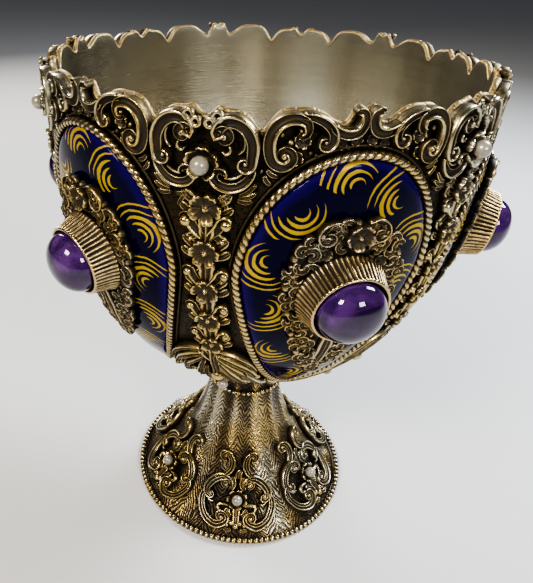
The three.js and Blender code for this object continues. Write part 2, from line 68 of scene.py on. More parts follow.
@dataclass
class Surface:
    """A mesh in the making: points, four-cornered faces, wear and a pattern place per point.

    Wear is 0 where dirt stays and 1 where hands polish the metal; some pieces also lower it to paint shade
    in hollows and under the cup.
    """

    points: Array
    quads: Array
    wear: Array
    pattern: Array

    @classmethod
    def grid(
        cls, points: Array, wear: Array | float = 0.5, pattern: Array | None = None
    ) -> "Surface":
        """Makes a surface from a grid of points.

        Args:
            points: rows by columns by 3; a closed grid repeats its first column as its last.
            wear: one value, or one per grid point.
            pattern: rows by columns by 2, the place of each point in a painted pattern.

        Returns:
            The surface, with the faces of neighbouring rows and columns.
        """
        rows, columns = points.shape[:2]
        index = np.arange(rows * columns).reshape(rows, columns)
        corners = (index[:-1, :-1], index[:-1, 1:], index[1:, 1:], index[1:, :-1])
        quads = np.stack([corner.ravel() for corner in corners], axis=1)
        worn = np.broadcast_to(np.asarray(wear, float), (rows, columns)).ravel()
        placed = np.zeros((rows * columns, 2)) if pattern is None else pattern.reshape(-1, 2)
        return cls(points.reshape(-1, 3), quads, worn.copy(), placed)

    @classmethod
    def joined(cls, parts: Sequence["Surface"]) -> "Surface":
        """Returns one surface that holds all the parts."""
        starts = np.cumsum([0] + [len(part.points) for part in parts])
        return cls(
            np.concatenate([part.points for part in parts]),
            np.concatenate([part.quads + start for part, start in zip(parts, starts)]),
            np.concatenate([part.wear for part in parts]),
            np.concatenate([part.pattern for part in parts]),
        )

    def outward(self) -> "Surface":
        """Returns the closed surface with its faces outwards.

        The volume is the sum over faces of the triple product of their corners; if it is
        negative, every face is turned round.
        """
        a, b, c, d = (self.points[self.quads[:, k]] for k in range(4))
        volume = np.einsum("ij,ij->", a, np.cross(b, c)) + np.einsum("ij,ij->", a, np.cross(c, d))
        quads = self.quads[:, ::-1] if volume < 0 else self.quads
        return Surface(self.points, quads, self.wear, self.pattern)

    def mapped(self, place: Callable[[Array], Array]) -> "Surface":
        """Returns the surface with its points sent through a function."""
        return Surface(place(self.points), self.quads, self.wear, self.pattern)

    def mirrored(self) -> "Surface":
        """Returns the surface with x negated and its faces kept outwards."""
        return Surface(self.points * (-1, 1, 1), self.quads[:, ::-1], self.wear, self.pattern)

    def both_sides(self) -> "Surface":
        """Returns the surface together with its mirror image."""
        return Surface.joined([self, self.mirrored()])

    def turned(self, angle: float) -> "Surface":
        """Returns the surface turned about the vertical axis by an angle in radians."""
        c, s = math.cos(angle), math.sin(angle)
        return self.mapped(lambda points: points @ np.array([[c, s, 0], [-s, c, 0], [0, 0, 1]]))

    def shaded(self, low: float, high: float) -> "Surface":
        """Returns the surface with less wear where it lies low against its wall: dirt, and painted shade,
        in the hollows.

        Args:
            low: height at which no wear is left.
            high: height from which wear is whole.
        """
        share = np.clip((self.points[:, 2] - low) / (high - low), 0, 1)
        # Painted shade together with dirt: points low against the wall are darkened.
        wear = self.wear * share * share * (3 - 2 * share)
        return Surface(self.points, self.quads, wear, self.pattern)


def to_object(name: str, surface: Surface, material: bpy.types.Material) -> bpy.types.Object:
    """Makes a Blender object of a surface, in metres, with doubled points merged.

    Points that agree to the last kept decimal become one vertex; a face that then has two
    equal neighbouring corners becomes a triangle, and one with more is dropped.
    """
    keys = np.round(surface.points, WELD_DECIMALS)
    _, first, inverse = np.unique(keys, axis=0, return_index=True, return_inverse=True)
    corners = inverse.reshape(-1)[surface.quads]
    equal = corners == np.roll(corners, -1, axis=1)
    folded = (corners[:, 0] == corners[:, 2]) | (corners[:, 1] == corners[:, 3])
    whole = (equal.sum(axis=1) == 0) & ~folded
    single = (equal.sum(axis=1) == 1) & ~folded
    kept = ~equal[single]
    loops = np.concatenate([corners[whole].ravel(), corners[single][kept]])
    origins = np.concatenate([surface.quads[whole].ravel(), surface.quads[single][kept]])
    sizes = np.concatenate([np.full(whole.sum(), 4), np.full(single.sum(), 3)])
    mesh = bpy.data.meshes.new(name)
    mesh.vertices.add(len(first))
    mesh.vertices.foreach_set("co", (surface.points[first] * MM).astype(np.float32).ravel())
    mesh.loops.add(len(loops))
    mesh.loops.foreach_set("vertex_index", loops.astype(np.int32))
    mesh.polygons.add(len(sizes))
    mesh.polygons.foreach_set("loop_start", (np.cumsum(sizes) - sizes).astype(np.int32))
    mesh.polygons.foreach_set("use_smooth", np.ones(len(sizes), bool))
    mesh.update(calc_edges=True)
    mesh.attributes.new("wear", "FLOAT", "POINT").data.foreach_set(
        "value", surface.wear[first].astype(np.float32)
    )
    if surface.pattern.any():
        layer = mesh.uv_layers.new(name="pattern")
        layer.data.foreach_set("uv", surface.pattern[origins].astype(np.float32).ravel())
    mesh.materials.append(material)
    mesh.validate()
    piece = bpy.data.objects.new(name, mesh)
    bpy.context.scene.collection.objects.link(piece)
    return piece


class Slot(Enum):
    """Names of material slots."""

    GILT_SILVER = "gilt_silver"
    PALE_GILT = "pale_gilt"
    BLUE_ENAMEL = "blue_enamel"
    AMETHYST = "amethyst"
    PEARL = "pearl"


def add_piece(
    name: str, surface: Surface, material: bpy.types.Material, slot: Slot, *nodes: str
) -> bpy.types.Object:
    """Adds one finished piece to the scene.

    Args:
        name: the piece's name.
        surface: its shape, in millimetres.
        material: its finish.
        slot: not used.
        nodes: the solids that it stands for.

    Returns:
        The new object.
    """
    piece = to_object(name, surface, material)
    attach(piece, "root")
    if nodes:
        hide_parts(*nodes)
    log.info("%s: %d faces", name, len(piece.data.polygons))
    return piece


def add_ring(
    name: str, surface: Surface, material: bpy.types.Material, slot: Slot, node: str, turn: float
) -> None:
    """Adds six equal pieces round the axis, the first turned by `turn` radians."""
    for number in range(1, SECTORS + 1):
        turned = surface.turned(turn + (number - 1) * SECTOR)
        add_piece(f"{name}_{number}", turned, material, slot, f"{node}_{number}")


def around(reach: Array | float, turn: Array, height: Array | float) -> Array:
    """Points at a distance from the upright axis, a turn from -Y and a height."""
    reach, turn, height = np.broadcast_arrays(reach, turn, height)
    return np.stack([reach * np.sin(turn), -reach * np.cos(turn), height], axis=-1)


@dataclass(frozen=True)
class Wall:
    """A wall of revolution, unrolled: radius, height, length along it and outward direction."""

    radius: Array
    height: Array
    along: Array
    out: Array

    @classmethod
    def through(cls, radius: Array, height: Array, start: float) -> "Wall":
        """Measures a profile that runs upwards.

        Length is the running sum of the steps, and outwards is the profile's direction
        turned a quarter to the right.

        Args:
            radius: radius of each profile point.
            height: its height.
            start: the length given to the first point.
        """
        steps = np.hypot(np.diff(radius), np.diff(height))
        along = start + np.concatenate([[0.0], np.cumsum(steps)])
        slope = np.stack([np.gradient(radius, along), np.gradient(height, along)], axis=1)
        slope /= np.linalg.norm(slope, axis=1, keepdims=True)
        return cls(radius, height, along, np.stack([slope[:, 1], -slope[:, 0]], axis=1))

    def at(self, along: Array | float) -> tuple[Array, Array, Array, Array]:
        """Returns radius, height and the two parts of the outward direction at a length."""
        rows = (self.radius, self.height, self.out[:, 0], self.out[:, 1])
        return tuple(np.interp(along, self.along, row) for row in rows)

    def place(self, flat: Array) -> Array:
        """Sends flat points to their places round the axis.

        The turn is x divided by the radius at that length; the point then stands off the
        wall along its outward direction. Turn 0 faces -Y.
        """
        radius, height, out_r, out_z = self.at(flat[:, 1])
        turn = flat[:, 0] / radius
        reach = radius + flat[:, 2] * out_r
        return around(reach, turn, height + flat[:, 2] * out_z)

    def stand(self, along: float, off: float) -> Callable[[Array], Array]:
        """Returns a function that stands a thing, made with +Z up, square on the wall."""
        radius, height, out_r, out_z = (float(value) for value in self.at(along))
        origin = np.array([0, -(radius + off * out_r), height + off * out_z])
        basis = np.array([[1, 0, 0], [0, out_z, out_r], [0, -out_r, out_z]])
        return lambda points: origin + points @ basis


class Section(Enum):
    """Cross-sections of bands: rows of places across, of heights and of wear."""

    CHANNEL = (
        (-1.0, -1.03, -0.97, -0.86, -0.74, -0.62, -0.4, 0.0, 0.22, 0.36, 0.52, 0.78, 0.96, 1.05, 1.0),
        (0.0, 0.5, 0.74, 0.82, 0.74, 0.58, 0.55, 0.58, 0.6, 0.76, 0.97, 1.0, 0.86, 0.45, 0.0),
        (0.0, 0.3, 0.75, 1.0, 0.55, 0.15, 0.34, 0.44, 0.26, 0.45, 0.95, 1.0, 0.95, 0.4, 0.0),
    )
    REEDED = (
        (-1.0, -1.0, -0.9, -0.72, -0.55, -0.42, -0.25, 0.0, 0.18, 0.32, 0.48, 0.72, 0.92, 1.02, 1.0),
        (0.0, 0.45, 0.74, 0.82, 0.66, 0.5, 0.7, 0.82, 0.7, 0.52, 0.76, 1.0, 0.92, 0.5, 0.0),
        (0.0, 0.3, 0.85, 0.95, 0.4, 0.1, 0.6, 0.9, 0.5, 0.1, 0.5, 1.0, 0.95, 0.4, 0.0),
    )
    ROUND = (
        (-1.0, -1.0, -0.8, -0.42, 0.0, 0.42, 0.8, 1.0, 1.0),
        (0.0, 0.4, 0.76, 0.95, 1.0, 0.95, 0.76, 0.4, 0.0),
        (0.0, 0.2, 0.55, 0.9, 1.0, 0.9, 0.55, 0.2, 0.0),
    )
    LEAF = (
        (-1.0, -1.0, -0.86, -0.62, -0.3, 0.0, 0.3, 0.62, 0.86, 1.0, 1.0),
        (0.0, 0.5, 0.84, 0.9, 0.6, 1.0, 0.6, 0.9, 0.84, 0.5, 0.0),
        (0.0, 0.45, 1.0, 1.0, 0.1, 1.0, 0.1, 1.0, 1.0, 0.45, 0.0),
    )


def evenly(curve: Array, count: int) -> Array:
    """Returns `count` points at equal lengths along a line of points."""
    steps = np.linalg.norm(np.diff(curve, axis=0), axis=1)
    along = np.concatenate([[0.0], np.cumsum(steps)])
    wanted = np.linspace(0, along[-1], count)
    return np.stack([np.interp(wanted, along, column) for column in curve.T], axis=1)


def spline(points: Line, count: int) -> Array:
    """Draws a smooth line through points.

    Between two points the line is a cubic whose ends follow the slope through their
    neighbours, run at the square root of the distance so that close points don't overshoot.

    Args:
        points: the points, in order.
        count: how many points to return, evenly spaced.
    """
    p = np.asarray(points, float)
    t = np.concatenate([[0.0], np.cumsum(np.sqrt(np.linalg.norm(np.diff(p, axis=0), axis=1)))])
    slope = np.gradient(p, t, axis=0)
    fine = np.linspace(0, t[-1], 30 * len(p))
    k = np.clip(np.searchsorted(t, fine, side="right") - 1, 0, len(p) - 2)
    gap = (t[k + 1] - t[k])[:, None]
    s = ((fine - t[k])[:, None]) / gap
    curve = (
        (2 * s**3 - 3 * s**2 + 1) * p[k]
        + (s**3 - 2 * s**2 + s) * gap * slope[k]
        + (3 * s**2 - 2 * s**3) * p[k + 1]
        + (s**3 - s**2) * gap * slope[k + 1]
    )
    return evenly(curve, count)


def spiral(centre: Point, start: Point, turns: float, shrink: float, count: int = 9) -> Line:
    """Points that wind from `start` round `centre`, `turns` times, counter-clockwise if positive.

    The angle grows evenly and the radius falls evenly, to `shrink` of its first value.
    """
    x, y = start[0] - centre[0], start[1] - centre[1]
    share = np.linspace(0, 1, count)
    angle = math.atan2(y, x) + TURN * turns * share
    radius = math.hypot(x, y) * (1 + (shrink - 1) * share)
    return tuple(zip(centre[0] + radius * np.cos(angle), centre[1] + radius * np.sin(angle)))


@dataclass(frozen=True)
class Band:
    """One cast band: the line of its middle, its widths, its height and its section."""

    line: Line
    width: tuple[float, float, float]
    rise: float = 2.1
    base: float = -0.2
    section: Section = Section.CHANNEL
    steps: int = 48
    lobes: int = 0

    def widths(self, path: Array) -> Array:
        """Half widths along the path.

        A parabola goes through the three widths; both ends are rounded like a circle, and
        lobes swell the edge by the absolute value of a sine.
        """
        share = np.linspace(0, 1, len(path))
        first, middle, last = self.width
        half = first * (1 - share) * (1 - 2 * share) + 4 * middle * share * (1 - share)
        half = (half + last * share * (2 * share - 1)) / 2
        length = np.linalg.norm(np.diff(path, axis=0), axis=1).sum()
        from_end = np.minimum(share, 1 - share) * length / (0.7 * max(middle / 2, 0.2))
        half = half * np.sqrt(1 - (1 - np.clip(from_end, 0, 1)) ** 2)
        return half * (1 + 0.22 * np.abs(np.sin(self.lobes * math.pi * share)) if self.lobes else 1)

    def surface(self) -> Surface:
        """Carries the section along the path.

        Each ring is the path's point, plus the section's place across times the half width
        along the path's left-hand normal, at the section's height times the rise.
        """
        spacing = np.linspace(0, math.pi, self.steps)
        even = spline(self.line, 4 * self.steps)
        share = 0.7 * np.linspace(0, 1, self.steps) + 0.3 * (1 - np.cos(spacing)) / 2
        path = np.stack(
            [np.interp(share, np.linspace(0, 1, len(even)), column) for column in even.T], axis=1
        )
        half = self.widths(path)
        tangent = np.gradient(path, axis=0)
        tangent /= np.linalg.norm(tangent, axis=1, keepdims=True)
        normal = np.stack([-tangent[:, 1], tangent[:, 0]], axis=1)
        across, up, wear = (np.array(row) for row in self.section.value)
        across, up, wear = (np.append(row, row[0]) for row in (across, up, wear))
        lift = np.clip(half / max(half.max() * 0.45, 1e-6), 0.25, 1)
        points = np.empty((len(path), len(across), 3))
        points[..., :2] = path[:, None] + across[None, :, None] * (half[:, None] * normal)[:, None]
        points[..., 2] = self.base + up[None] * ((self.rise - self.base) * lift)[:, None]
        for end in (0, -1):
            points[end] = points[end].mean(axis=0)
        return Surface.grid(points, np.broadcast_to(wear, points.shape[:2])).outward()

    def edge(self) -> Array:
        """Middle points and half widths, as rows of x, y and half width."""
        path = spline(self.line, 300)
        return np.column_stack([path, self.widths(path)])


def revolved(x: float, y: float, ring: Array, height: Array, sides: int) -> Array:
    """A grid of points round an axis off the wall, from columns of radii and heights."""
    turn = np.linspace(0, TURN, sides + 1)[None]
    return np.stack([x + ring * np.cos(turn), y + ring * np.sin(turn), height + 0 * turn], axis=-1)


def lens(x: float, y: float, radius: float, base: float, rise: float, sides: int = 12) -> Surface:
    """A domed boss: radius times the sine and rise times the cosine of one angle."""
    angle = np.linspace(0, math.pi / 2, 5)[:, None]
    points = revolved(x, y, radius * np.sin(angle), base + rise * np.cos(angle), sides)
    foot = np.broadcast_to(np.array([x, y, base]), points[:1].shape)
    wear = np.concatenate([np.cos(angle[:, 0]) ** 0.5, [0.0]])[:, None]
    return Surface.grid(np.concatenate([points, foot]), wear).outward()


def ball(x: float, y: float, off: float, radius: float, sides: int = 12) -> Surface:
    """A ball on the wall: the usual two angles, with wear growing outwards."""
    rows = sides // 2 + 1
    angle = np.linspace(0, math.pi, rows)[:, None]
    points = revolved(x, y, radius * np.sin(angle), off + radius * np.cos(angle), sides)
    return Surface.grid(points, np.clip(0.75 + 0.5 * np.cos(angle), 0, 1)).outward()


def tube(path: Array, radius: Array, sides: int, phase: Array | float = 0.0) -> Array:
    """Rings round a closed flat path that already has its height as third number.

    A ring's point is the path's point plus the radius times the cosine of an angle along the
    path's normal, plus the radius times its sine off the wall.

    Args:
        path: n by 3, the first point not repeated.
        radius: n by sides + 1.
        sides: points round a ring.
        phase: angle at which each ring starts.

    Returns:
        A grid of points, n + 1 by sides + 1 by 3, closed both ways.
    """
    tangent = np.roll(path, -1, axis=0) - np.roll(path, 1, axis=0)
    tangent /= np.linalg.norm(tangent[:, :2], axis=1, keepdims=True)
    normal = np.stack([tangent[:, 1], -tangent[:, 0], np.zeros(len(path))], axis=1)
    angle = np.linspace(0, TURN, sides + 1)[None] + np.reshape(phase, (-1, 1))
    rings = path[:, None] + (radius * np.cos(angle))[..., None] * normal[:, None]
    rings[..., 2] += radius * np.sin(angle)
    return np.concatenate([rings, rings[:1]])


def loop(x: float, y: float, radius: float, wire: float, off: float, sides: int = 12) -> Surface:
    """A ring of wire that lies on the wall."""
    turn = np.linspace(0, TURN, sides, endpoint=False)
    path = np.stack([x + radius * np.cos(turn), y + radius * np.sin(turn), off + 0 * turn], axis=1)
    rings = tube(path, np.full((sides, 7), wire), 6)
    wear = np.clip(0.55 + 0.6 * np.sin(np.linspace(0, TURN, 7)), 0, 1)
    return Surface.grid(rings, np.broadcast_to(wear, rings.shape[:2])).outward()


@dataclass(frozen=True)
class Flower:
    """A cast flower with dished petals and a knob."""

    x: float
    y: float
    radius: float
    petals: int = 5
    base: float = 0.4
    rise: float = 1.7
    turn: float = 0.3
    fine: int = 10

    def surface(self) -> Surface:
        """Works out the flower on a polar grid.

        The outline's radius swells with the petals' absolute sine and has a small notch at
        each petal's middle. The height climbs from the middle to the petals' rims, falls to
        the clefts between them, carries three veins a petal, and a bell curve adds the knob.
        The last rows go down the side and shut the underside.
        """
        turn = np.linspace(0, TURN, self.fine * self.petals + 1)[None]
        share = np.array([0, 0.12, 0.26, 0.44, 0.62, 0.78, 0.9, 0.97, 1.0])[:, None]
        phase = self.petals * (turn - self.turn) / 2
        petal = np.abs(np.sin(phase))
        vein = np.abs(np.cos(3 * phase)) * np.clip(share / 0.4, 0, 1) * (share < 0.86)
        notch = 0.1 * np.clip((petal - 0.94) / 0.06, 0, 1)
        outline = self.radius * (0.62 + 0.38 * petal**0.5 - notch)
        open_petal = petal**0.4
        rim = 0.12 + 0.88 * share**2.4 - 0.3 * np.clip(share - 0.95, 0, 1) / 0.05
        height = 0.25 + 0.75 * open_petal * rim - 0.06 * vein * open_petal
        height = height * np.clip(share / 0.3, 0, 1) + 0.9 * np.exp(-((share / 0.17) ** 2))
        lit = np.clip((share - 0.68) / 0.2, 0, 1)
        wear = open_petal * (0.55 + 0.12 * share - 0.22 * vein + 0.45 * lit)
        wear = np.clip(wear + 0.9 * np.exp(-((share / 0.14) ** 2)), 0, 1)
        ring = share * outline
        x = self.x + ring * np.cos(turn)
        y = self.y + ring * np.sin(turn)
        top = np.stack([x, y, self.base + self.rise * height], axis=-1)
        side = np.stack([x[-1:], y[-1:], np.full_like(x[-1:], self.base - 0.5)], axis=-1)
        foot = np.broadcast_to(np.array([self.x, self.y, self.base - 0.5]), side.shape)
        worn = np.concatenate([wear, np.zeros((2, turn.shape[1]))])
        return Surface.grid(np.concatenate([top, side, foot]), worn).outward()


def pearl_seat(y: float, radius: float, petals: int) -> list[Surface]:
    """Dished petals round a pearl, and the boss that carries it."""
    petal_ring = Flower(0.0, y, radius, petals, 0.3, 3.0, 0.9)
    return [petal_ring.surface(), lens(0, y, 0.5 * radius, 0.3, 1.45, 16)]


class Value:
    """A number that flows through a node tree; arithmetic on it adds Math nodes."""

    def __init__(self, shader: "Shader", socket: bpy.types.NodeSocket) -> None:
        """Wraps an output socket of a shader's tree."""
        self.shader = shader
        self.socket = socket

    def math(self, operation: str, *others: "Value | float") -> "Value":
        """Returns this value and others through one Math node."""
        inputs = dict(enumerate((self, *others)))
        node = self.shader.node("ShaderNodeMath", {"operation": operation}, inputs)
        return Value(self.shader, node.outputs[0])

    def after(self, operation: str, other: float) -> "Value":
        """Returns a plain number and this value through one Math node, the number first."""
        node = self.shader.node("ShaderNodeMath", {"operation": operation}, {0: other, 1: self})
        return Value(self.shader, node.outputs[0])

    def __add__(self, other: "Value | float") -> "Value":
        """Adds."""
        return self.math("ADD", other)

    def __radd__(self, other: float) -> "Value":
        """Adds to a number."""
        return self.after("ADD", other)

    def __sub__(self, other: "Value | float") -> "Value":
        """Subtracts."""
        return self.math("SUBTRACT", other)

    def __rsub__(self, other: float) -> "Value":
        """Subtracts from a number."""
        return self.after("SUBTRACT", other)

    def __mul__(self, other: "Value | float") -> "Value":
        """Multiplies."""
        return self.math("MULTIPLY", other)

    def __rmul__(self, other: float) -> "Value":
        """Multiplies a number."""
        return self.after("MULTIPLY", other)

    def __truediv__(self, other: "Value | float") -> "Value":
        """Divides."""
        return self.math("DIVIDE", other)

    def __pow__(self, other: "Value | float") -> "Value":
        """Raises to a power."""
        return self.math("POWER", other)

    def __abs__(self) -> "Value":
        """Drops the sign."""
        return self.math("ABSOLUTE")

    def clamped(self) -> "Value":
        """Keeps the value from 0 to 1."""
        return self.math("MAXIMUM", 0.0).math("MINIMUM", 1.0)

    def between(self, low: float, high: float) -> "Value":
        """Rises smoothly from 0 at `low` to 1 at `high`."""
        share = ((self - low) / (high - low)).clamped()
        return share * share * (3.0 - 2.0 * share)


class Shader:
    """A material's node tree with a Principled BSDF in it."""

    def __init__(self, name: str) -> None:
        """Starts an empty material of that name."""
        self.material = bpy.data.materials.new(name)
        self.material.use_nodes = True
        self.tree = self.material.node_tree
        self.tree.nodes.clear()
        self.principled = self.node("ShaderNodeBsdfPrincipled", {}, {})
        self.node("ShaderNodeOutputMaterial", {}, {"Surface": self.principled.outputs[0]})

    def node(
        self, kind: str, settings: dict[str, Any], inputs: dict[str | int, Any]
    ) -> bpy.types.Node:
        """Adds one node.

        Args:
            kind: Blender's node type.
            settings: properties that are set first; "stops" are a ramp's places and colours.
            inputs: values or links of its sockets, by name or number.

        Returns:
            The node.
        """
        node = self.tree.nodes.new(kind)
        for key, value in settings.items():
            if key == "stops":
                ramp = node.color_ramp.elements
                while len(ramp) < len(value):
                    ramp.new(1.0)
                for stop, (place, colour) in zip(ramp, value):
                    stop.position = place
                    stop.color = (*colour, 1.0)
            else:
                setattr(node, key, value)
        for key, value in inputs.items():
            self.feed(node.inputs[key], value)
        return node

    def feed(self, socket: bpy.types.NodeSocket, value: Any) -> None:
        """Sets a socket to a plain value, or links it to a wrapped or bare output."""
        if isinstance(value, Value):
            value = value.socket
        if isinstance(value, bpy.types.NodeSocket):
            self.tree.links.new(value, socket)
        elif isinstance(value, tuple) and len(value) == 3 and socket.type == "RGBA":
            socket.default_value = (*value, 1.0)
        else:
            socket.default_value = value

    def value(
        self, kind: str, settings: dict[str, Any], inputs: dict[str | int, Any], output: str | int = 0
    ) -> Value:
        """Adds a node and returns one of its outputs as a value."""
        return Value(self, self.node(kind, settings, inputs).outputs[output])

    def place(self, stretch: tuple[float, float, float] = (1, 1, 1)) -> bpy.types.NodeSocket:
        """Object coordinates, stretched."""
        place = self.node("ShaderNodeTexCoord", {}, {}).outputs["Object"]
        if stretch == (1, 1, 1):
            return place
        return self.node("ShaderNodeMapping", {}, {"Vector": place, "Scale": stretch}).outputs[0]

    def noise(self, size: float, detail: float = 3.0, stretch: tuple = (1, 1, 1)) -> Value:
        """Cloudy noise from 0 to 1 whose spots are about `size` millimetres."""
        inputs = {"Vector": self.place(stretch), "Scale": 1 / (size * MM), "Detail": detail}
        return self.value("ShaderNodeTexNoise", {}, inputs)

    def cells(self, size: float) -> Value:
        """Distance to the nearest of scattered points about `size` millimetres apart."""
        inputs = {"Vector": self.place(), "Scale": 1 / (size * MM)}
        return self.value("ShaderNodeTexVoronoi", {}, inputs)

    def attribute(self, name: str) -> Value:
        """A number kept on the mesh."""
        return self.value("ShaderNodeAttribute", {"attribute_name": name}, {}, "Fac")

    def open_air(self, reach: float) -> Value:
        """1 in the open and 0 deep in a crevice, from what stands within `reach` millimetres."""
        inputs = {"Distance": reach * MM}
        return self.value("ShaderNodeAmbientOcclusion", {"samples": 6}, inputs, "AO")

    def mix(self, share: Value, low: Any, high: Any) -> bpy.types.NodeSocket:
        """Mixes two colours."""
        settings = {"data_type": "RGBA", "clamp_factor": True}
        node = self.node("ShaderNodeMix", settings, {0: share, 6: low, 7: high})
        return node.outputs[2]

    def bump(self, height: Value, depth: float, strength: float = 1.0) -> bpy.types.NodeSocket:
        """Bump from a height of 0 to 1 that is `depth` millimetres deep."""
        inputs = {"Height": height, "Distance": depth * MM, "Strength": strength}
        return self.node("ShaderNodeBump", {}, inputs).outputs[0]

    def finish(self, **inputs: Any) -> bpy.types.Material:
        """Feeds the Principled BSDF and returns the material; _ in a name stands for a space."""
        for key, value in inputs.items():
            self.feed(self.principled.inputs[key.replace("_", " ")], value)
        return self.material


@dataclass(frozen=True)
class AgedMetal:
    """Cast metal with dirt and painted shade in its depths and polish on its heights."""

    name: str
    bright: Colour = (0.60, 0.445, 0.17)
    pale: Colour = (0.50, 0.455, 0.32)
    dull: Colour = (0.062, 0.044, 0.021)
    dirt_and_shade: Colour = (0.003, 0.002, 0.0013)
    polish: float = 0.2
    grain: float = 0.06
    shift: float = 0.0
    gap: float = 1.3

    def material(self) -> bpy.types.Material:
        """Mixes dirt, dull and bright metal by wear, upset by noise; ambient occlusion lowers the wear in
        crevices, which paints shade there.

        The gilding wears to pale silver in large patches, and a fine grain is bump.
        """
        shader = Shader(self.name)
        # Painted shade: ambient occlusion within `gap` darkens the crevices, on top of their dirt.
        open_air = shader.open_air(self.gap)
        wear = shader.attribute("wear") * (0.42 + 0.58 * open_air) + self.shift
        clouds = shader.noise(2.2, 4)
        specks = shader.noise(0.45, 2)
        worn = wear + (clouds - 0.5) * 0.45 + (specks - 0.5) * 0.3
        body = worn.between(0.06, 0.62)
        shine = worn.between(0.56, 1.0)
        patches = shader.noise(26, 3).between(0.38, 0.62)
        metal = shader.mix(patches, self.bright, self.pale)
        low = shader.mix(body, self.dirt_and_shade, self.dull)
        colour = shader.mix(shine, low, metal)
        grain = shader.noise(0.3, 2) * 0.6 + shader.noise(1.1, 2) * 0.4
        return shader.finish(
            Base_Color=colour,
            Metallic=0.3 + 0.7 * body,
            Roughness=0.58 - (0.58 - self.polish) * shine + (clouds - 0.5) * 0.12,
            Normal=shader.bump(grain, self.grain),
        )


@dataclass(frozen=True)
class BowlMetal:
    """The bowl: dark granulated ground outside, brushed and softly stained metal inside."""

    name: str = "bowl_metal"
    inside: Colour = (0.60, 0.575, 0.495)
    stain: Colour = (0.24, 0.213, 0.155)
    ground: Colour = (0.0028, 0.002, 0.0014)
    edge: Colour = (0.40, 0.29, 0.13)

    def material(self) -> bpy.types.Material:
        """Uses the kept wear: 0 to 0.5 is the outside, above that the inside and the rim. Ambient
        occlusion paints shade on the outside ground between the castings.
        """
        shader = Shader(self.name)
        wear = shader.attribute("wear")
        inner = wear.between(0.75, 0.95)
        streaks = shader.noise(14, 3, (0.35, 0.35, 9))
        fine = shader.noise(5, 3, (0.3, 0.3, 14))
        stains = shader.noise(26, 4, (1, 1, 0.6)).between(0.42, 0.7)
        bands = shader.noise(17, 2, (1, 1, 0.12)).between(0.36, 0.66)
        share = stains * 0.4 + bands * 0.55 + (streaks - 0.5) * 0.5
        brushed = shader.mix(share, self.inside, self.stain)
        clouds = shader.noise(1.4, 3)
        # Painted shade: ambient occlusion darkens the outside ground further where the castings crowd it.
        open_air = shader.open_air(2.5)
        punched = shader.cells(0.7).between(0.05, 0.5)
        outer = (wear - 0.12) * (1.2 + clouds * 1.5) + punched * 0.05 + (clouds - 0.5) * 0.12
        outer = shader.mix((outer * open_air).clamped(), self.ground, self.edge)
        height = (1 - inner) * punched + inner * (streaks * 0.1 + fine * 0.14)
        return shader.finish(
            Base_Color=shader.mix(inner, outer, brushed),
            Metallic=0.5 + 0.5 * wear.between(0.2, 0.45),
            Roughness=0.5 - 0.26 * inner + (fine - 0.5) * 0.1 + stains * 0.05,
            Specular_IOR_Level=0.12,
            Normal=shader.bump(height, 0.14),
        )


@dataclass(frozen=True)
class ChasedMetal:
    """The foot: slanting chased strokes that meet at the middle of every flute.

    The pattern's first number is the distance from a flute's middle and the second the
    length up the wall, both in millimetres.
    """

    name: str = "chased_foot_metal"
    bright: Colour = (0.56, 0.41, 0.165)
    pale: Colour = (0.52, 0.47, 0.34)
    dull: Colour = (0.08, 0.056, 0.027)
    dirt_and_shade: Colour = (0.007, 0.0047, 0.003)
    stroke: float = 1.6
    slant: float = 1.5

    def material(self) -> bpy.types.Material:
        """Cuts the strokes and a punched grain, darkens them and polishes what stands up; ambient
        occlusion paints shade round the castings and under the cup.

        A stroke is the absolute sine of the length up the wall plus the slant times the
        distance across, whose phase wanders with soft noise.
        """
        shader = Shader(self.name)
        place = shader.node("ShaderNodeUVMap", {"uv_map": "pattern"}, {}).outputs[0]
        split = shader.node("ShaderNodeSeparateXYZ", {}, {"Vector": place})
        across, along = Value(shader, split.outputs[0]), Value(shader, split.outputs[1])
        drift = shader.noise(9, 2) * 9.0 + shader.noise(2.4, 2) * 2.2
        phase = (along + across * self.slant + drift) * (math.pi / self.stroke)
        strokes = abs(phase.math("SINE")) ** 0.7
        pits = shader.cells(0.62).between(0.1, 0.5)
        carved = strokes * 0.7 + pits * 0.3
        clouds = shader.noise(3.0, 4)
        wear = shader.attribute("wear")
        worn = wear + (carved - 0.72) * 0.8 + (clouds - 0.5) * 0.45
        # Painted shade: ambient occlusion darkens the foot near the castings and the cup, on top of its
        # dirt.
        worn = worn - 0.6 * (1 - shader.open_air(3.0))
        body = worn.between(0.0, 0.42)
        shine = worn.between(0.3, 0.85)
        patches = shader.noise(17, 3).between(0.42, 0.58)
        metal = shader.mix(patches, self.bright, self.pale)
        colour = shader.mix(shine, shader.mix(body, self.dirt_and_shade, self.dull), metal)
        return shader.finish(
            Base_Color=colour,
            Metallic=0.6 + 0.4 * body,
            Roughness=0.5 - 0.27 * shine,
            Normal=shader.bump(carved + clouds * 0.15, 0.32),
        )


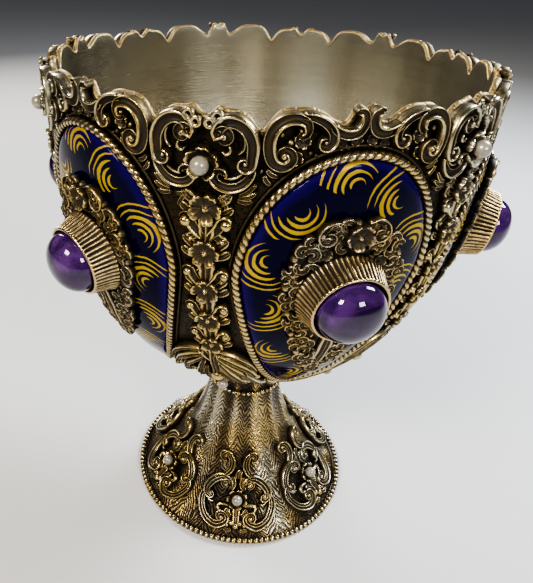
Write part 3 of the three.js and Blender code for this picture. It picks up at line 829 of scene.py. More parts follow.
@dataclass(frozen=True)
class PaintedEnamel:
    """Glossy blue enamel with painted gold arcs along its border and a painted highlight along its edge.

    The pattern holds flat millimetres from the centre of the nearest motif, along the edge
    and inwards, and wear holds the distance in from the edge as a share of `depth`.
    """

    name: str = "painted_enamel"
    deep: Colour = (0.0006, 0.0001, 0.011)
    # edge: the lighter blue of the painted highlight along the border.
    edge: Colour = (0.007, 0.0004, 0.062)
    gold: Colour = (0.40, 0.27, 0.012)
    depth: float = 9.0
    ring: float = 1.3
    nested: float = 4.5
    reach: float = 7.1

    def arcs(self, shader: Shader) -> Value:
        """Where the gold is.

        Rings lie at equal steps of distance from the motif's centre. Inside `nested` they are
        half rings that bulge outwards and inwards by turns, and beyond it they are short arcs
        on one side. Their width follows the cosine of the angle from the middle of the arc,
        which leans as the rings grow.
        """
        place = shader.node("ShaderNodeUVMap", {"uv_map": "pattern"}, {}).outputs[0]
        split = shader.node("ShaderNodeSeparateXYZ", {}, {"Vector": place})
        x, y = Value(shader, split.outputs[0]), Value(shader, split.outputs[1])
        wobble = (shader.noise(3.5, 2) - 0.5) * 0.7
        distance = (x * x + y * y).math("SQRT") + wobble + 0.001
        lean = distance * 0.13
        to_bulge = (x * lean.math("SINE") - y * lean.math("COSINE")) / distance
        ring = (distance / self.ring).math("ROUND") * self.ring
        from_ring = abs(distance - ring)
        brush = 0.8 + shader.noise(1.2, 2) * 0.4
        wide = (to_bulge + 0.15).math("MAXIMUM", 0.0).math("SQRT")
        wide = wide * (0.24 + 0.13 * x / distance + 0.022 * distance) * brush
        short = ((x / distance - 0.66) * 3.0).math("MAXIMUM", 0.0).math("SQRT") * 0.24 * brush
        near = distance.math("LESS_THAN", self.nested) * distance.math("GREATER_THAN", 0.7)
        far = distance.math("GREATER_THAN", self.nested) * distance.math("LESS_THAN", self.reach)
        width = near * wide + far * short
        return ((width - from_ring) / 0.1).clamped()

    def material(self) -> bpy.types.Material:
        """Lays the gold on blue with a painted highlight: the blue is brighter near its edge, where the
        domed border catches the light.
        """
        shader = Shader(self.name)
        inward = shader.attribute("wear") * self.depth
        clouds = shader.noise(5, 3)
        # Painted highlight: the blue lightens within a few millimetres of the edge.
        rim = 1 - (inward + (clouds - 0.5) * 1.6).between(0.1, 2.6)
        blue = shader.mix(rim, self.deep, self.edge)
        arcs = self.arcs(shader)
        worn = 0.75 + clouds * 0.4
        return shader.finish(
            Base_Color=shader.mix((arcs * worn).clamped(), blue, self.gold),
            Roughness=0.08 + 0.3 * arcs + (clouds - 0.5) * 0.04,
            Metallic=0.3 * arcs,
            Specular_IOR_Level=0.05,
            Normal=shader.bump(arcs * 0.6 + clouds * 0.4, 0.05),
        )


@dataclass(frozen=True)
class Amethyst:
    """Clear violet stone with darker and paler zones."""

    name: str = "amethyst_stone"
    violet: Colour = (0.034, 0.007, 0.075)
    pale: Colour = (0.17, 0.06, 0.28)

    def material(self) -> bpy.types.Material:
        """Mixes two violets in soft slanting zones."""
        shader = Shader(self.name)
        zones = shader.noise(5, 3, (1, 2.2, 1.2)).between(0.38, 0.72)
        return shader.finish(
            Base_Color=shader.mix(zones, self.violet, self.pale),
            Roughness=0.015 + 0.03 * shader.noise(4, 2),
            IOR=1.55,
            Transmission_Weight=0.8,
            Specular_IOR_Level=0.22,
        )


@dataclass(frozen=True)
class Nacre:
    """Pearl: creamy white with a faint rosy and greenish bloom."""

    name: str = "pearl_nacre"
    cream: Colour = (0.34, 0.31, 0.25)
    rose: Colour = (0.21, 0.18, 0.15)

    def material(self) -> bpy.types.Material:
        """Mixes cream and rose in soft clouds under a glossy coat."""
        shader = Shader(self.name)
        clouds = shader.noise(1.6, 3)
        return shader.finish(
            Base_Color=shader.mix(clouds.between(0.35, 0.7), self.cream, self.rose),
            Roughness=0.22 + 0.15 * clouds,
            Metallic=0.3,
            Coat_Weight=0.6,
            Coat_Roughness=0.06,
            Normal=shader.bump(clouds, 0.03),
        )


def cup_wall(
    rim_radius: float, rim_height: float, bottom: float, fullness: float, seat: float
) -> Wall:
    """The cup's outside from its seat to above the rim.

    Radius is the cosine of one running angle. Depth is its sine raised to two over the
    fullness. Above the rim the wall goes straight up.
    """
    angle = np.linspace(math.acos(seat / rim_radius), 0, 400)
    radius = rim_radius * np.cos(angle)
    height = rim_height - (rim_height - bottom) * np.sin(angle) ** (2 / fullness)
    length = np.hypot(np.diff(radius), np.diff(height)).sum()
    rise = np.linspace(0.5, 12, 24)
    return Wall.through(
        np.concatenate([radius, np.full(24, rim_radius)]),
        np.concatenate([height, rim_height + rise]),
        -float(length),
    )


@dataclass
class Cup:
    """The raised bowl with its scalloped rim."""

    rim_radius: float = 50.4
    rim_height: float = 134.0
    bottom: float = 53.0
    fullness: float = 2.7
    seat: float = 11.0
    thickness: float = 1.4
    columns: int = 720
    slot: int = 1
    metal: BowlMetal = field(default_factory=BowlMetal)

    def wall(self) -> Wall:
        """The outside as a chart."""
        return cup_wall(self.rim_radius, self.rim_height, self.bottom, self.fullness, self.seat)

    def crest(self, x: Array, edges: Array) -> Array:
        """Height of the rim behind the scrolls.

        At each place it is the highest point of any circle of a band's half width, a little
        reduced, round a point of that band's middle line. The highest, then the lowest, then
        the mean value of its neighbourhood fill narrow slots and soften corners.

        Args:
            x: places along the rim from the middle of a casting.
            edges: rows of x, y and half width.
        """
        around = np.abs(x)[:, None] - edges[None, :, 0]
        reach = np.maximum(edges[None, :, 2] - 0.3, 0.05)
        inside = np.abs(around) < reach
        rise = np.sqrt(np.maximum(reach**2 - around**2, 0))
        top = np.where(inside, edges[None, :, 1] + rise, 0.0).max(axis=1)
        for widest in (np.max, np.min, np.mean, np.mean):
            ringed = np.concatenate([top[-self.slot - 1 : -1], top, top[1 : self.slot + 1]])
            windows = np.lib.stride_tricks.sliding_window_view(ringed, 2 * self.slot + 1)
            top = widest(windows, axis=1)
        return np.maximum(top, 0.0)

    def surface(self, edges: Array) -> Surface:
        """The bowl on a grid of rows up the outside, over the rim and down the inside."""
        wall = self.wall()
        turn = np.linspace(0, TURN, self.columns + 1)
        in_sector = (turn / SECTOR) % 1 - 0.5
        crest = self.crest(in_sector * SECTOR * self.rim_radius, edges)
        low = float(wall.along[0])
        belt = -9.0
        lower = np.linspace(low, belt, 14)[:, None] + 0 * crest
        upper = belt + np.linspace(0, 1, 11)[1:, None] * (crest - belt)[None]
        half = self.thickness / 2
        lip = np.linspace(0, math.pi, 7)[1:-1, None]
        outside = np.concatenate([lower, upper])
        over = crest[None] + half * np.sin(lip)
        inside = outside[::-1][:-1]
        along = np.concatenate([outside, over, inside])
        off = np.concatenate([
            np.zeros_like(outside),
            -half + half * np.cos(lip) + 0 * over,
            np.full_like(inside, -self.thickness),
        ])
        radius, height, out_r, out_z = wall.at(along)
        points = around(radius + off * out_r, turn, height + off * out_z)
        floor = float(height[0, 0]) + self.thickness
        ends = [np.zeros((1, len(turn), 3)), np.zeros((1, len(turn), 3))]
        ends[0][..., 2], ends[1][..., 2] = float(height[0, 0]), floor
        rim = np.clip((along - crest) / 1.2 + 1, 0, 1)
        wear = np.where(off > -self.thickness * 0.95, 0.12 + 0.38 * rim**2, 1.0)
        flat = np.full((1, len(turn)), 0.1)
        return Surface.grid(
            np.concatenate([ends[0], points, ends[1]]), np.concatenate([flat, wear, flat + 0.9])
        ).outward()

    def build(self, edges: Array) -> None:
        """Adds the bowl."""
        add_piece("bowl", self.surface(edges), self.metal.material(), Slot.GILT_SILVER, "cup")


@dataclass(frozen=True)
class Egg:
    """The outline of a medallion: half an ellipse above and a long drop below."""

    drop: float
    half_width: float
    upper: float
    lower: float

    def inset(self, by: float) -> "Egg":
        """The same outline, smaller all round."""
        return Egg(self.drop, self.half_width - by, self.upper - by, self.lower - by)

    def outline(self, count: int, fine: int = 1440) -> Array:
        """Evenly spaced points, counter-clockwise from the right, the first not repeated.

        Height is the sine times the upper or lower length. Half width above is the cosine,
        and below it is one less the 1.3rd power of the share down, raised to 0.7.
        """
        angle = np.linspace(0, TURN, fine + 1)
        sine, cosine = np.sin(angle), np.cos(angle)
        below = (1 - np.clip(-sine, 0, 1) ** 1.3) ** 0.7 * np.sign(cosine)
        x = self.half_width * np.where(sine >= 0, cosine, below)
        y = np.where(sine >= 0, self.upper, self.lower) * sine - self.drop
        return evenly(np.stack([x, y], axis=1), count + 1)[:-1]


@dataclass
class Medallion:
    """Twisted rope, plain wire and enamel plaque of one medallion."""

    egg: Egg = Egg(27.3, 20.3, 25.3, 45.0)
    rope_radius: float = 0.82
    strand: float = 1.5
    motifs: int = 12
    motif_columns: int = 20
    motif_lead: int = 7
    motif_inset: float = 4.2
    enamel_low: float = 0.6
    enamel_thick: float = 1.2
    dome: float = 0.45
    enamel: PaintedEnamel = field(default_factory=PaintedEnamel)

    def rope(self) -> Surface:
        """Two twisted strands: a ring whose radius swells twice a turn, turning along it."""
        steps = 720
        path = self.egg.inset(self.rope_radius).outline(steps)
        along = np.arange(steps) / steps
        length = np.linalg.norm(np.roll(path, -1, axis=0) - path, axis=1).sum()
        turns = round(length / (2 * self.strand))
        sides = 10
        angle = np.linspace(0, TURN, sides + 1)[None]
        twist = TURN * turns * along[:, None]
        lobe = np.abs(np.cos(angle - twist))
        radius = self.rope_radius * (0.62 + 0.42 * lobe**0.7)
        spine = np.column_stack([path, np.full(steps, 0.5 + self.rope_radius)])
        rings = tube(spine, radius, sides)
        wear = np.clip(lobe * 1.1 + 0.25 * np.sin(angle), 0, 1)
        return Surface.grid(rings, np.concatenate([wear, wear[:1]])).outward()

    def wire(self) -> Surface:
        """A plain wire just outside the rope."""
        steps = 120
        path = self.egg.inset(-0.5).outline(steps)
        spine = np.column_stack([path, np.full(steps, 0.35)])
        rings = tube(spine, np.full((steps, 7), 0.3), 6)
        wear = np.clip(0.1 + 0.55 * np.sin(np.linspace(0, TURN, 7)), 0, 1)
        return Surface.grid(rings, np.broadcast_to(wear, rings.shape[:2])).outward()

    def plaque(self) -> Surface:
        """The enamel, from its edge in to a line down its middle.

        Each column runs from an outline point to a point on the axis at part of its height.
        The surface turns over a round shoulder and then swells slowly to its middle. Every
        motif has an equal share of the columns, and its pattern places are flat distances
        from its own centre, turned inside out for every other motif.
        """
        egg = self.egg.inset(2 * self.rope_radius + 0.1)
        outline = egg.outline(self.motifs * self.motif_columns)
        tangent = np.roll(outline, -1, axis=0) - np.roll(outline, 1, axis=0)
        tangent /= np.linalg.norm(tangent, axis=1, keepdims=True)
        inwards = np.stack([-tangent[:, 1], tangent[:, 0]], axis=1)
        middles = int(outline[:, 1].argmax()) + 1 + np.arange(self.motifs) * self.motif_columns
        columns = middles[:, None] + np.arange(self.motif_columns + 1) - self.motif_lead
        columns = columns.ravel() % len(outline)
        middles = np.repeat(middles % len(outline), self.motif_columns + 1)
        edge = outline[columns]
        spine = np.column_stack([0 * edge[:, 0], (edge[:, 1] + egg.drop) * 0.78 - egg.drop])
        share = np.concatenate([[0, 0], np.linspace(0, 1, 14) ** 2])[:, None, None]
        flat = edge[None] + share * (spine - edge)[None]
        inward = np.einsum("ijk,jk->ij", flat - edge[None], inwards[columns])
        shoulder = np.sqrt(1 - (1 - np.clip(inward / 1.4, 0, 1)) ** 2)
        swell = np.sin(math.pi / 2 * np.clip(inward / 9, 0, 1))
        off = self.enamel_low + self.enamel_thick * (0.25 + 0.75 * shoulder) + self.dome * swell
        off[0] = self.enamel_low - 0.4
        points = np.concatenate([flat, off[..., None]], axis=2)
        under = points[-1:].copy()
        under[..., 2] = off[0]
        from_centre = flat - (outline[middles] + self.motif_inset * inwards[middles])[None]
        side = np.repeat(1 - 2 * (np.arange(self.motifs) % 2), self.motif_columns + 1)
        pattern = np.stack(
            [
                np.einsum("ijk,jk->ij", from_centre, tangent[middles]),
                np.einsum("ijk,jk->ij", from_centre, inwards[middles]) * side,
            ],
            axis=-1,
        )
        depth = np.clip(inward / self.enamel.depth, 0, 1)
        return Surface.grid(
            np.concatenate([under, points]),
            np.concatenate([depth[-1:], depth]),
            np.concatenate([pattern[-1:], pattern]),
        ).outward()

    def build(self, wall: Wall, trim: bpy.types.Material) -> None:
        """Adds the six ropes and plaques."""
        rope = Surface.joined([self.rope(), self.wire()]).mapped(wall.place)
        add_ring("medallion_rope", rope, trim, Slot.PALE_GILT, "rope_frame", 0.0)
        plaque = self.plaque().mapped(wall.place)
        blue = self.enamel.material()
        add_ring("medallion_enamel", plaque, blue, Slot.BLUE_ENAMEL, "enamel_plaque", 0.0)


@dataclass
class Filigree:
    """The crusty plate of curls on the enamel, under the stone's collar."""

    egg: Egg = Egg(26.0, 12.4, 13.4, 30.0)
    low: float = 2.35
    thick: float = 0.75
    curls: int = 45

    def plate(self) -> Surface:
        """The ground plate: the outline with a wavy edge, its top roughened by sines."""
        edge = self.egg.inset(1.8).outline(120)
        edge = np.concatenate([edge, edge[:1]])
        spine = np.column_stack([0 * edge[:, 0], (edge[:, 1] + self.egg.drop) * 0.6 - self.egg.drop])
        share = np.array([0, 0, 0.08, 0.2, 0.4, 0.7, 1.0])[:, None, None]
        flat = edge[None] + share * (spine - edge)[None]
        rough = np.sin(3.1 * flat[..., 0]) * np.sin(2.7 * flat[..., 1])
        off = self.low + self.thick + 0.15 * rough
        off[0] = self.low - 0.3
        points = np.concatenate([flat, off[..., None]], axis=2)
        under = points[-1:].copy()
        under[..., 2] = off[0, 0]
        return Surface.grid(np.concatenate([under, points]), 0.2).outward()

    def curl(self, x: float, y: float, size: float, angle: float, turns: float) -> Surface:
        """A short scroll that winds in to its end.

        Args:
            x: place of its middle across.
            y: place of its middle up the wall.
            size: its first radius.
            angle: where it starts, in radians.
            turns: how far it winds.
        """
        top = self.low + self.thick
        start = (x + size * math.cos(angle), y + size * math.sin(angle))
        line = spiral((x, y), start, turns, 0.3, 8)
        widths = (0.5 * size, 1.0 * size, 0.85 * size)
        return Band(line, widths, top + 0.8 + 0.25 * size, top - 0.3, Section.LEAF, 11, 2).surface()

    def rows(self) -> list[Surface]:
        """Rows of curled leaves, beads and small flowers, one inside the other."""
        chance = np.random.default_rng(7)
        top = self.low + self.thick
        parts = []
        for step, (x, y) in enumerate(self.egg.inset(1.9).outline(self.curls)):
            if step % 3 == 2:
                parts.append(lens(x, y, 0.95, top - 0.6, chance.uniform(1.3, 1.8), 10))
            else:
                parts.append(self.curl(x, y, chance.uniform(1.05, 1.3), chance.uniform(0, 6.3), 0.95))
        for step, (x, y) in enumerate(self.egg.inset(3.7).outline(self.curls * 2 // 3)):
            size = chance.uniform(1.1, 1.5)
            side = 1 if step % 2 else -1
            parts.append(self.curl(x, y, size, chance.uniform(0, 6.3), side * 0.9))
        for step, (x, y) in enumerate(self.egg.inset(5.5).outline(self.curls // 2)):
            if step % 2:
                turn = chance.uniform(0, 1.2)
                parts.append(Flower(x, y, 1.5, 5, top - 0.2, 1.1, turn, 5).surface())
            else:
                parts.append(self.curl(x, y, 1.25, chance.uniform(0, 6.3), -0.9))
        for x, y in self.egg.inset(6.9).outline(self.curls // 3):
            parts.append(lens(x, y, 0.95, top - 0.5, chance.uniform(1.0, 1.6), 10))
        return parts

    def scrollwork(self) -> list[Surface]:
        """The flower above the collar with a pair of scrolls, and the leaf down the tail."""
        top = self.low + self.thick
        base = top - 0.3
        winding = spiral((4.6, -16.6), (5.9, -16.6), -0.9, 0.4, 7)
        line = ((1.9, -14.6), (3.6, -14.0), (5.4, -15.0), *winding)
        scroll = Band(line, (0.8, 1.3, 0.8), top + 1.3, base, Section.CHANNEL, 26)
        tail = Band(
            ((0, -38.5), (0.3, -44), (-0.2, -50), (0, -54)), (1.6, 2.6, 0.9), top + 1.2, base,
            Section.LEAF, 20, 4,
        )
        flower = Flower(0.6, -16.6, 2.6, 5, base + 1.0, 1.9)
        return [scroll.surface().both_sides(), tail.surface(), flower.surface()]

    def build(self, wall: Wall, metal: bpy.types.Material) -> None:
        """Adds the six plates."""
        flat = Surface.joined([self.plate(), *self.rows(), *self.scrollwork()])
        plate = flat.shaded(self.low + 0.2, self.low + self.thick + 0.75).mapped(wall.place)
        add_ring("filigree_plate", plate, metal, Slot.GILT_SILVER, "filigree_mount", 0.0)


@dataclass
class StoneSetting:
    """A fluted collar with a smooth lip, and the high cabochon in it."""

    drop: float = 29.5
    off: float = 3.5
    base_radius: float = 9.1
    rim_radius: float = 7.7
    height: float = 5.1
    lip: float = 0.8
    flutes: int = 55
    stone_radius: float = 6.75
    stone_rise: float = 5.3
    stone: Amethyst = field(default_factory=Amethyst)

    def collar(self) -> Surface:
        """The collar, from its foot up the flutes, over the lip and down into the seat.

        The radius falls evenly with height and loses a groove wherever the warped turn's
        sine is low; the warp, a sum of three sines, makes the flutes uneven.
        """
        columns = 6 * self.flutes
        turn = np.linspace(0, TURN, columns + 1)
        warp = 0.5 * np.sin(5 * turn) + 0.35 * np.sin(13 * turn + 1) + 0.3 * np.sin(23 * turn + 2)
        wave = np.abs(np.sin((self.flutes * turn + warp) / 2))
        rib = np.clip(wave * 1.15, 0, 1) ** 0.9
        depth = 0.62 * (1 + 0.25 * np.sin(9 * turn + 0.7))
        share = np.array([0, 0, 0.04, 0.1, 0.25, 0.45, 0.65, 0.8, 0.86, 0.91, 0.96, 1.0])
        cut = np.array([0.5, 0.7, 0.9, 1, 1, 1, 1, 1, 0.9, 0.6, 0.15, 0])
        puff = np.array([0, 0.2, 0.22, 0.1, 0, 0, 0, 0, 0, 0.05, 0.06, 0.0])
        cone = self.base_radius + (self.rim_radius - self.base_radius) * share + puff
        radius = cone[:, None] - cut[:, None] * depth[None] * (1 - rib)[None]
        height = np.broadcast_to((share * self.height)[:, None], radius.shape).copy()
        height[0] -= 0.6
        inner = np.array([-0.2, -0.45, -0.75 * self.lip, -self.lip - 0.1, -self.lip - 0.2])
        drop = np.array([0.08, 0.02, -0.3, -1.1, -2.2])
        flat = np.zeros(len(turn))
        radius = np.concatenate([radius, (self.rim_radius + inner)[:, None] + flat])
        height = np.concatenate([height, (self.height + drop)[:, None] + flat])
        ends = np.zeros((1, len(turn), 3))
        top = ends + (0, 0, self.height - 2.2)
        foot = ends + (0, 0, -0.6)
        points = np.stack([radius * np.cos(turn), radius * np.sin(turn), height], axis=-1)
        worn = cut[:, None] * rib[None] * 0.85 + (1 - cut)[:, None] * 0.95
        inside = np.array([1.0, 0.95, 0.6, 0.2, 0.1])[:, None] + 0 * turn[None]
        wear = np.concatenate([0 * turn[None], worn, inside, 0 * turn[None]])
        return Surface.grid(np.concatenate([foot, points, top]), wear).outward()

    def cabochon(self) -> Surface:
        """The stone: a round girdle, and above it a dome fuller than a half ellipse."""
        sides = 72
        angle = np.linspace(0, math.pi / 2, 17)[:, None]
        radius = self.stone_radius * np.cos(angle) ** 0.92
        radius[-1] = 0
        height = self.height - 0.4 + self.stone_rise * np.sin(angle) ** 0.95
        top = revolved(0, 0, radius, height, sides)
        share = np.array([0.0, 0.7, 0.97])[:, None]
        low = revolved(0, 0, self.stone_radius * share, self.height - 1.7 + share**4, sides)
        return Surface.grid(np.concatenate([low, top])).outward()

    def build(self, wall: Wall, trim: bpy.types.Material) -> None:
        """Adds the six collars and stones."""
        stand = wall.stand(-self.drop, self.off)
        collar = self.collar().mapped(stand)
        add_ring("stone_collar_fluted", collar, trim, Slot.PALE_GILT, "stone_collar", 0.0)
        stone = self.cabochon().mapped(stand)
        add_ring("cabochon", stone, self.stone.material(), Slot.AMETHYST, "amethyst", 0.0)


@dataclass
class GarlandCasting:
    """One casting of the cup: scrolls of the rim, a pearl's rosette, flowers and leaves.

    Everything is drawn for the right-hand half, from the pearl's axis to the next
    medallion's, and mirrored, apart from what stands on the axis.
    """

    pearl_drop: float = 4.9
    flowers: Line = ((0.6, -13.3), (0.5, -22.4), (0.5, -31.4), (0.7, -39.7), (1.0, -48.0))
    flower_radius: float = 3.15

    def rim_bands(self) -> list[Band]:
        """The bands that make the rim's outline."""
        upper = (
            *spiral((3.5, -0.3), (2.35, -0.15), -1.25, 0.3)[::-1],
            (2.5, 1.0), (3.6, 2.15), (5.4, 2.25), (7.1, 1.2), (8.2, -0.9), (8.25, -3.2),
            *spiral((7.1, -4.5), (8.0, -4.9), -0.85, 0.35),
        )
        lobe = (
            *spiral((15.4, 1.3), (16.6, 1.6), -0.35, 0.6)[::-1],
            (16.3, 2.6), (14.4, 3.3), (12.2, 2.5), (10.95, 0.6), (10.85, -2.0),
            *spiral((13.2, -2.9), (11.6, -3.9), 1.0, 0.3),
        )
        second = (
            (15.6, 3.75), (17.4, 3.5), (19.4, 2.6), (20.7, 1.1), (20.8, -0.4),
            *spiral((19.6, -0.5), (20.2, -1.3), -0.7, 0.35, 6),
        )
        hooked = (
            (20.3, 2.2), (21.5, 1.3), (23.2, 0.8), (24.8, 1.2), (25.55, 2.6), (25.35, 3.9),
            (24.5, 4.35), (23.9, 3.85),
        )
        return [
            Band(upper, (0.9, 2.35, 1.0), 2.3, steps=56),
            Band(lobe, (0.9, 2.2, 1.0), 2.3, steps=56),
            Band(second, (1.1, 1.7, 0.8), 2.1, steps=32),
            Band(hooked, (1.2, 2.0, 0.8), 2.2, steps=32),
        ]

    def lower_bands(self) -> list[Band]:
        """The crescents under the pearl's scrolls, and small hooks beside the pearl."""
        crescent = (
            (8.6, -5.2), (8.0, -6.9), (6.5, -8.5), (4.5, -9.1), (2.7, -8.6),
            *spiral((3.1, -7.0), (1.9, -7.6), -0.7, 0.4, 6),
        )
        inner = ((6.9, -6.3), (5.6, -7.3), (4.2, -7.5), (3.4, -6.7))
        hook = ((4.3, -1.7), (4.6, -2.7), (3.8, -3.3), (3.1, -2.7))
        rib = ((6.2, 0.7), (6.9, -0.8), (6.7, -2.4), (5.7, -3.3))
        return [
            Band(crescent, (1.0, 1.8, 0.8), 1.9, steps=36),
            Band(inner, (0.5, 0.75, 0.4), 1.2, section=Section.ROUND, steps=14),
            Band(hook, (0.5, 0.8, 0.5), 1.5, section=Section.ROUND, steps=14),
            Band(rib, (0.4, 0.7, 0.4), 1.2, section=Section.ROUND, steps=14),
        ]

    def trimmings(self) -> list[Surface]:
        """Bosses, stamens, petals and sprays of the right-hand half of the rim."""
        eyes = [
            lens(3.5, -0.3, 0.8, 0, 2.2),
            lens(7.1, -4.5, 0.75, 0, 2.1),
            lens(13.2, -2.9, 0.95, 0, 2.3),
            lens(19.6, -0.5, 0.6, 0, 1.9),
            lens(15.5, 1.4, 0.5, 0, 1.9),
        ]
        stamens = [
            part
            for x, y, radius in ((2.4, 3.0, 0.8), (1.15, 1.9, 0.72))
            for part in (
                loop(x, y, radius, 0.42, 1.75),
                lens(x, y, 0.9 * radius, 0, 1.2, 12),
            )
        ]
        flowers = [
            Flower(16.0, -0.4, 1.5, 6, 0.2, 1.2, fine=5),
            Flower(15.2, -3.4, 1.35, 5, 0.2, 1.1, fine=5),
            Flower(22.6, -1.1, 0.95, 5, 0.1, 0.9, fine=5),
            Flower(25.0, -0.4, 1.15, 6, 0.1, 1.0, fine=5),
        ]
        spray = [
            Band(line, (0.5, 0.95, 0.35), 1.35, section=Section.LEAF, steps=10)
            for line in (
                ((6.0, -10.6), (7.6, -9.8), (9.2, -8.0)),
                ((6.0, -10.9), (7.9, -10.6), (9.4, -9.6)),
                ((5.9, -11.3), (7.6, -11.6), (8.8, -11.2)),
                ((3.0, -11.2), (4.0, -12.4), (4.6, -13.8)),
                ((2.6, -10.8), (3.9, -11.3), (5.2, -11.3)),
                ((10.6, -5.4), (11.5, -6.3), (12.7, -6.6)),
                ((10.3, -6.4), (10.7, -7.4), (11.6, -8.2)),
            )
        ]
        beads = [
            ball(x, y, 0.35, radius, 8)
            for x, y, radius in (
                (9.75, -5.9, 0.5), (9.55, 0.3, 0.5), (17.6, -2.6, 0.45), (18.6, -3.0, 0.4),
                (20.9, -2.4, 0.4), (23.9, -1.9, 0.4), (21.9, -0.1, 0.42), (12.6, 0.4, 0.6),
                (14.2, -0.9, 0.7), (12.9, -5.2, 0.5),
            )
        ]
        return [*eyes, *stamens, *beads, *(drawn.surface() for drawn in (*flowers, *spray))]

    def garland(self) -> list[Surface]:
        """Flowers with ball-tipped horns and lobed leaves, from the rosette down."""
        parts = []
        for step, (x, y) in enumerate(self.flowers):
            size = 1 - 0.04 * step
            flower = Flower(x, y, self.flower_radius * size, 5 + step % 2, 1.0, 2.0, 0.5 + step)
            parts.append(flower.surface())
            stalk = ((x, y - 1.5), (x + 0.2, y - 4.2), (x, y - 7.2))
            parts.append(Band(stalk, (2.4, 3.0, 1.4), 1.9, 0.0, Section.LEAF, 20, 4).surface())
            for side in (-1, 1):
                parts += self.horn_pair(x, y, side, size, 1.25 if step == 0 else 1.0)
        return parts

    @staticmethod
    def horn_pair(x: float, y: float, side: int, size: float, bold: float) -> list[Surface]:
        """One side's horn, leaves and balls beside one flower.

        Args:
            x: the flower's place across.
            y: its place up the wall.
            side: -1 for the left and 1 for the right.
            size: the garland's size here, as a share of its first flower's.
            bold: how thick the horn is.
        """
        reach = side * size
        low = y - (2.2 if bold > 1 else 4.4)
        horn = (
            (x + reach * 0.3, low - 3.6),
            (x + reach * 1.4, low - 2.6),
            (x + reach * 2.4, low - 1.3),
            (x + reach * 3.1, low + 0.1),
            (x + reach * 3.9, low + 0.2),
            (x + reach * 4.3, low - 0.5),
        )
        leaves = (
            (((x + reach * 1.2, y + 0.6), (x + reach * 2.9, y + 1.5), (x + reach * 4.5, y + 3.0)), 1.9, 2),
            (((x + reach * 1.6, y - 1.0), (x + reach * 3.4, y - 0.8), (x + reach * 4.9, y + 0.4)), 1.7, 2),
            (((x + reach * 0.8, y - 4.6), (x + reach * 2.6, y - 6.2), (x + reach * 4.2, y - 6.4)), 1.8, 2),
        )
        parts = [
            Band(line, (0.8, width, 0.5), 1.35, -0.1, Section.LEAF, 12, lobes).surface()
            for line, width, lobes in leaves
        ]
        thick = (0.8 * bold, 1.7 * bold, 1.2 * bold)
        parts.append(Band(horn, thick, 2.1, 0.0, Section.CHANNEL, 18).surface())
        parts.append(ball(x + reach * 3.75, low - 0.75, 1.25, 0.95 * bold * size, 12))
        parts.append(ball(x + reach * 3.0, y - 6.9, 0.8, 0.6, 8))
        return parts

    def stems(self) -> list[Surface]:
        """Long leaves that fan out from under the last flower to the neck."""
        lines = (
            (((0.9, -52), (0.8, -62), (0.3, -75), (0, -90), (0, -103)), (1.8, 2.6, 1.6), 5),
            (((1.6, -53), (5.2, -56), (8.4, -60), (9.6, -65)), (1.0, 1.9, 0.5), 3),
            (((1.2, -54), (4.0, -58.5), (7.2, -64), (9.0, -71), (9.4, -80)), (0.7, 1.3, 0.5), 0),
            (((1.9, -51), (5.6, -52.6), (8.4, -55.2), (10.2, -59)), (0.6, 1.2, 0.4), 2),
            (((1.4, -60), (2.8, -68), (3.0, -78)), (0.6, 1.3, 0.5), 2),
            (((1.6, -56), (3.6, -64), (5.6, -76), (5.2, -90), (3.6, -103)), (0.9, 2.0, 1.4), 6),
            (((7.0, -61), (8.6, -70), (9.6, -80), (8.4, -92), (5.6, -102)), (0.7, 2.2, 1.2), 5),
            (((11.6, -68), (12.9, -76), (12.4, -84), (10.6, -92)), (0.7, 1.9, 0.9), 3),
        )
        bands = [
            Band(line, width, 2.4, -0.2, Section.LEAF, 34, lobes).surface()
            for line, width, lobes in lines
        ]
        chance = np.random.default_rng(3)
        sprigs = (
            (12.6, -80.0), (14.9, -76.2), (9.2, -86.0), (11.4, -87.0), (6.8, -82.5), (8.1, -94.0),
            (4.6, -96.0), (2.9, -84.0), (7.0, -99.5), (6.2, -70.0), (12.2, -72.4), (10.9, -91.2),
        )
        for x, y in sprigs:
            start = (x + chance.uniform(1.1, 1.5), y)
            line = spiral((x, y), start, chance.choice((-0.95, 0.95)), 0.3, 8)
            bands.append(Band(line, (0.7, 1.5, 1.2), 1.7, -0.1, Section.LEAF, 11, 2).surface())
        middle, sides = bands[:1], Surface.joined(bands[1:])
        beads = [
            ball(0.5, -65.5, 1.9, 1.6, 16),
            lens(0.0, -77.0, 2.2, 0.0, 2.9, 16),
            ball(0.1, -88.5, 1.5, 1.35, 16),
            ball(9.7, -65.6, 1.0, 0.85, 12),
            ball(-9.7, -65.6, 1.0, 0.85, 12),
        ]
        return [*middle, sides.both_sides(), *beads]

    def surface(self, cup: Cup) -> Surface:
        """The whole casting, flat, polished along the cup's crest where hands hold it."""
        half = [band.surface() for band in (*self.rim_bands(), *self.lower_bands())]
        half += self.trimmings()
        seat = pearl_seat(-self.pearl_drop, 3.1, 5)
        parts = [Surface.joined(half).both_sides(), *seat, *self.garland(), *self.stems()]
        whole = Surface.joined(parts).shaded(-0.1, 1.25)
        x = np.linspace(0, SECTOR / 2 * cup.rim_radius, 700)
        tops = np.interp(np.abs(whole.points[:, 0]), x, cup.crest(x, self.edges()))
        lip = np.clip((whole.points[:, 1] - tops + 0.55) / 0.4, 0, 1) * (whole.points[:, 1] > -1.5)
        return Surface(whole.points, whole.quads, np.maximum(whole.wear, 0.62 * lip), whole.pattern)

    def edges(self) -> Array:
        """Middle lines and half widths of all that the rim's outline follows."""
        rings = np.array([(2.4, 3.0, 1.1), (1.15, 1.9, 1.0), (0.0, 1.2, 0.8), (0.5, 1.4, 0.8)])
        return np.concatenate([*(band.edge() for band in self.rim_bands()), rings])

    def build(self, cup: Cup, metal: bpy.types.Material) -> None:
        """Adds the six castings."""
        surface = self.surface(cup).mapped(cup.wall().place)
        add_ring(
            "garland_scrolls", surface, metal, Slot.GILT_SILVER, "garland_casting", SECTOR / 2
        )


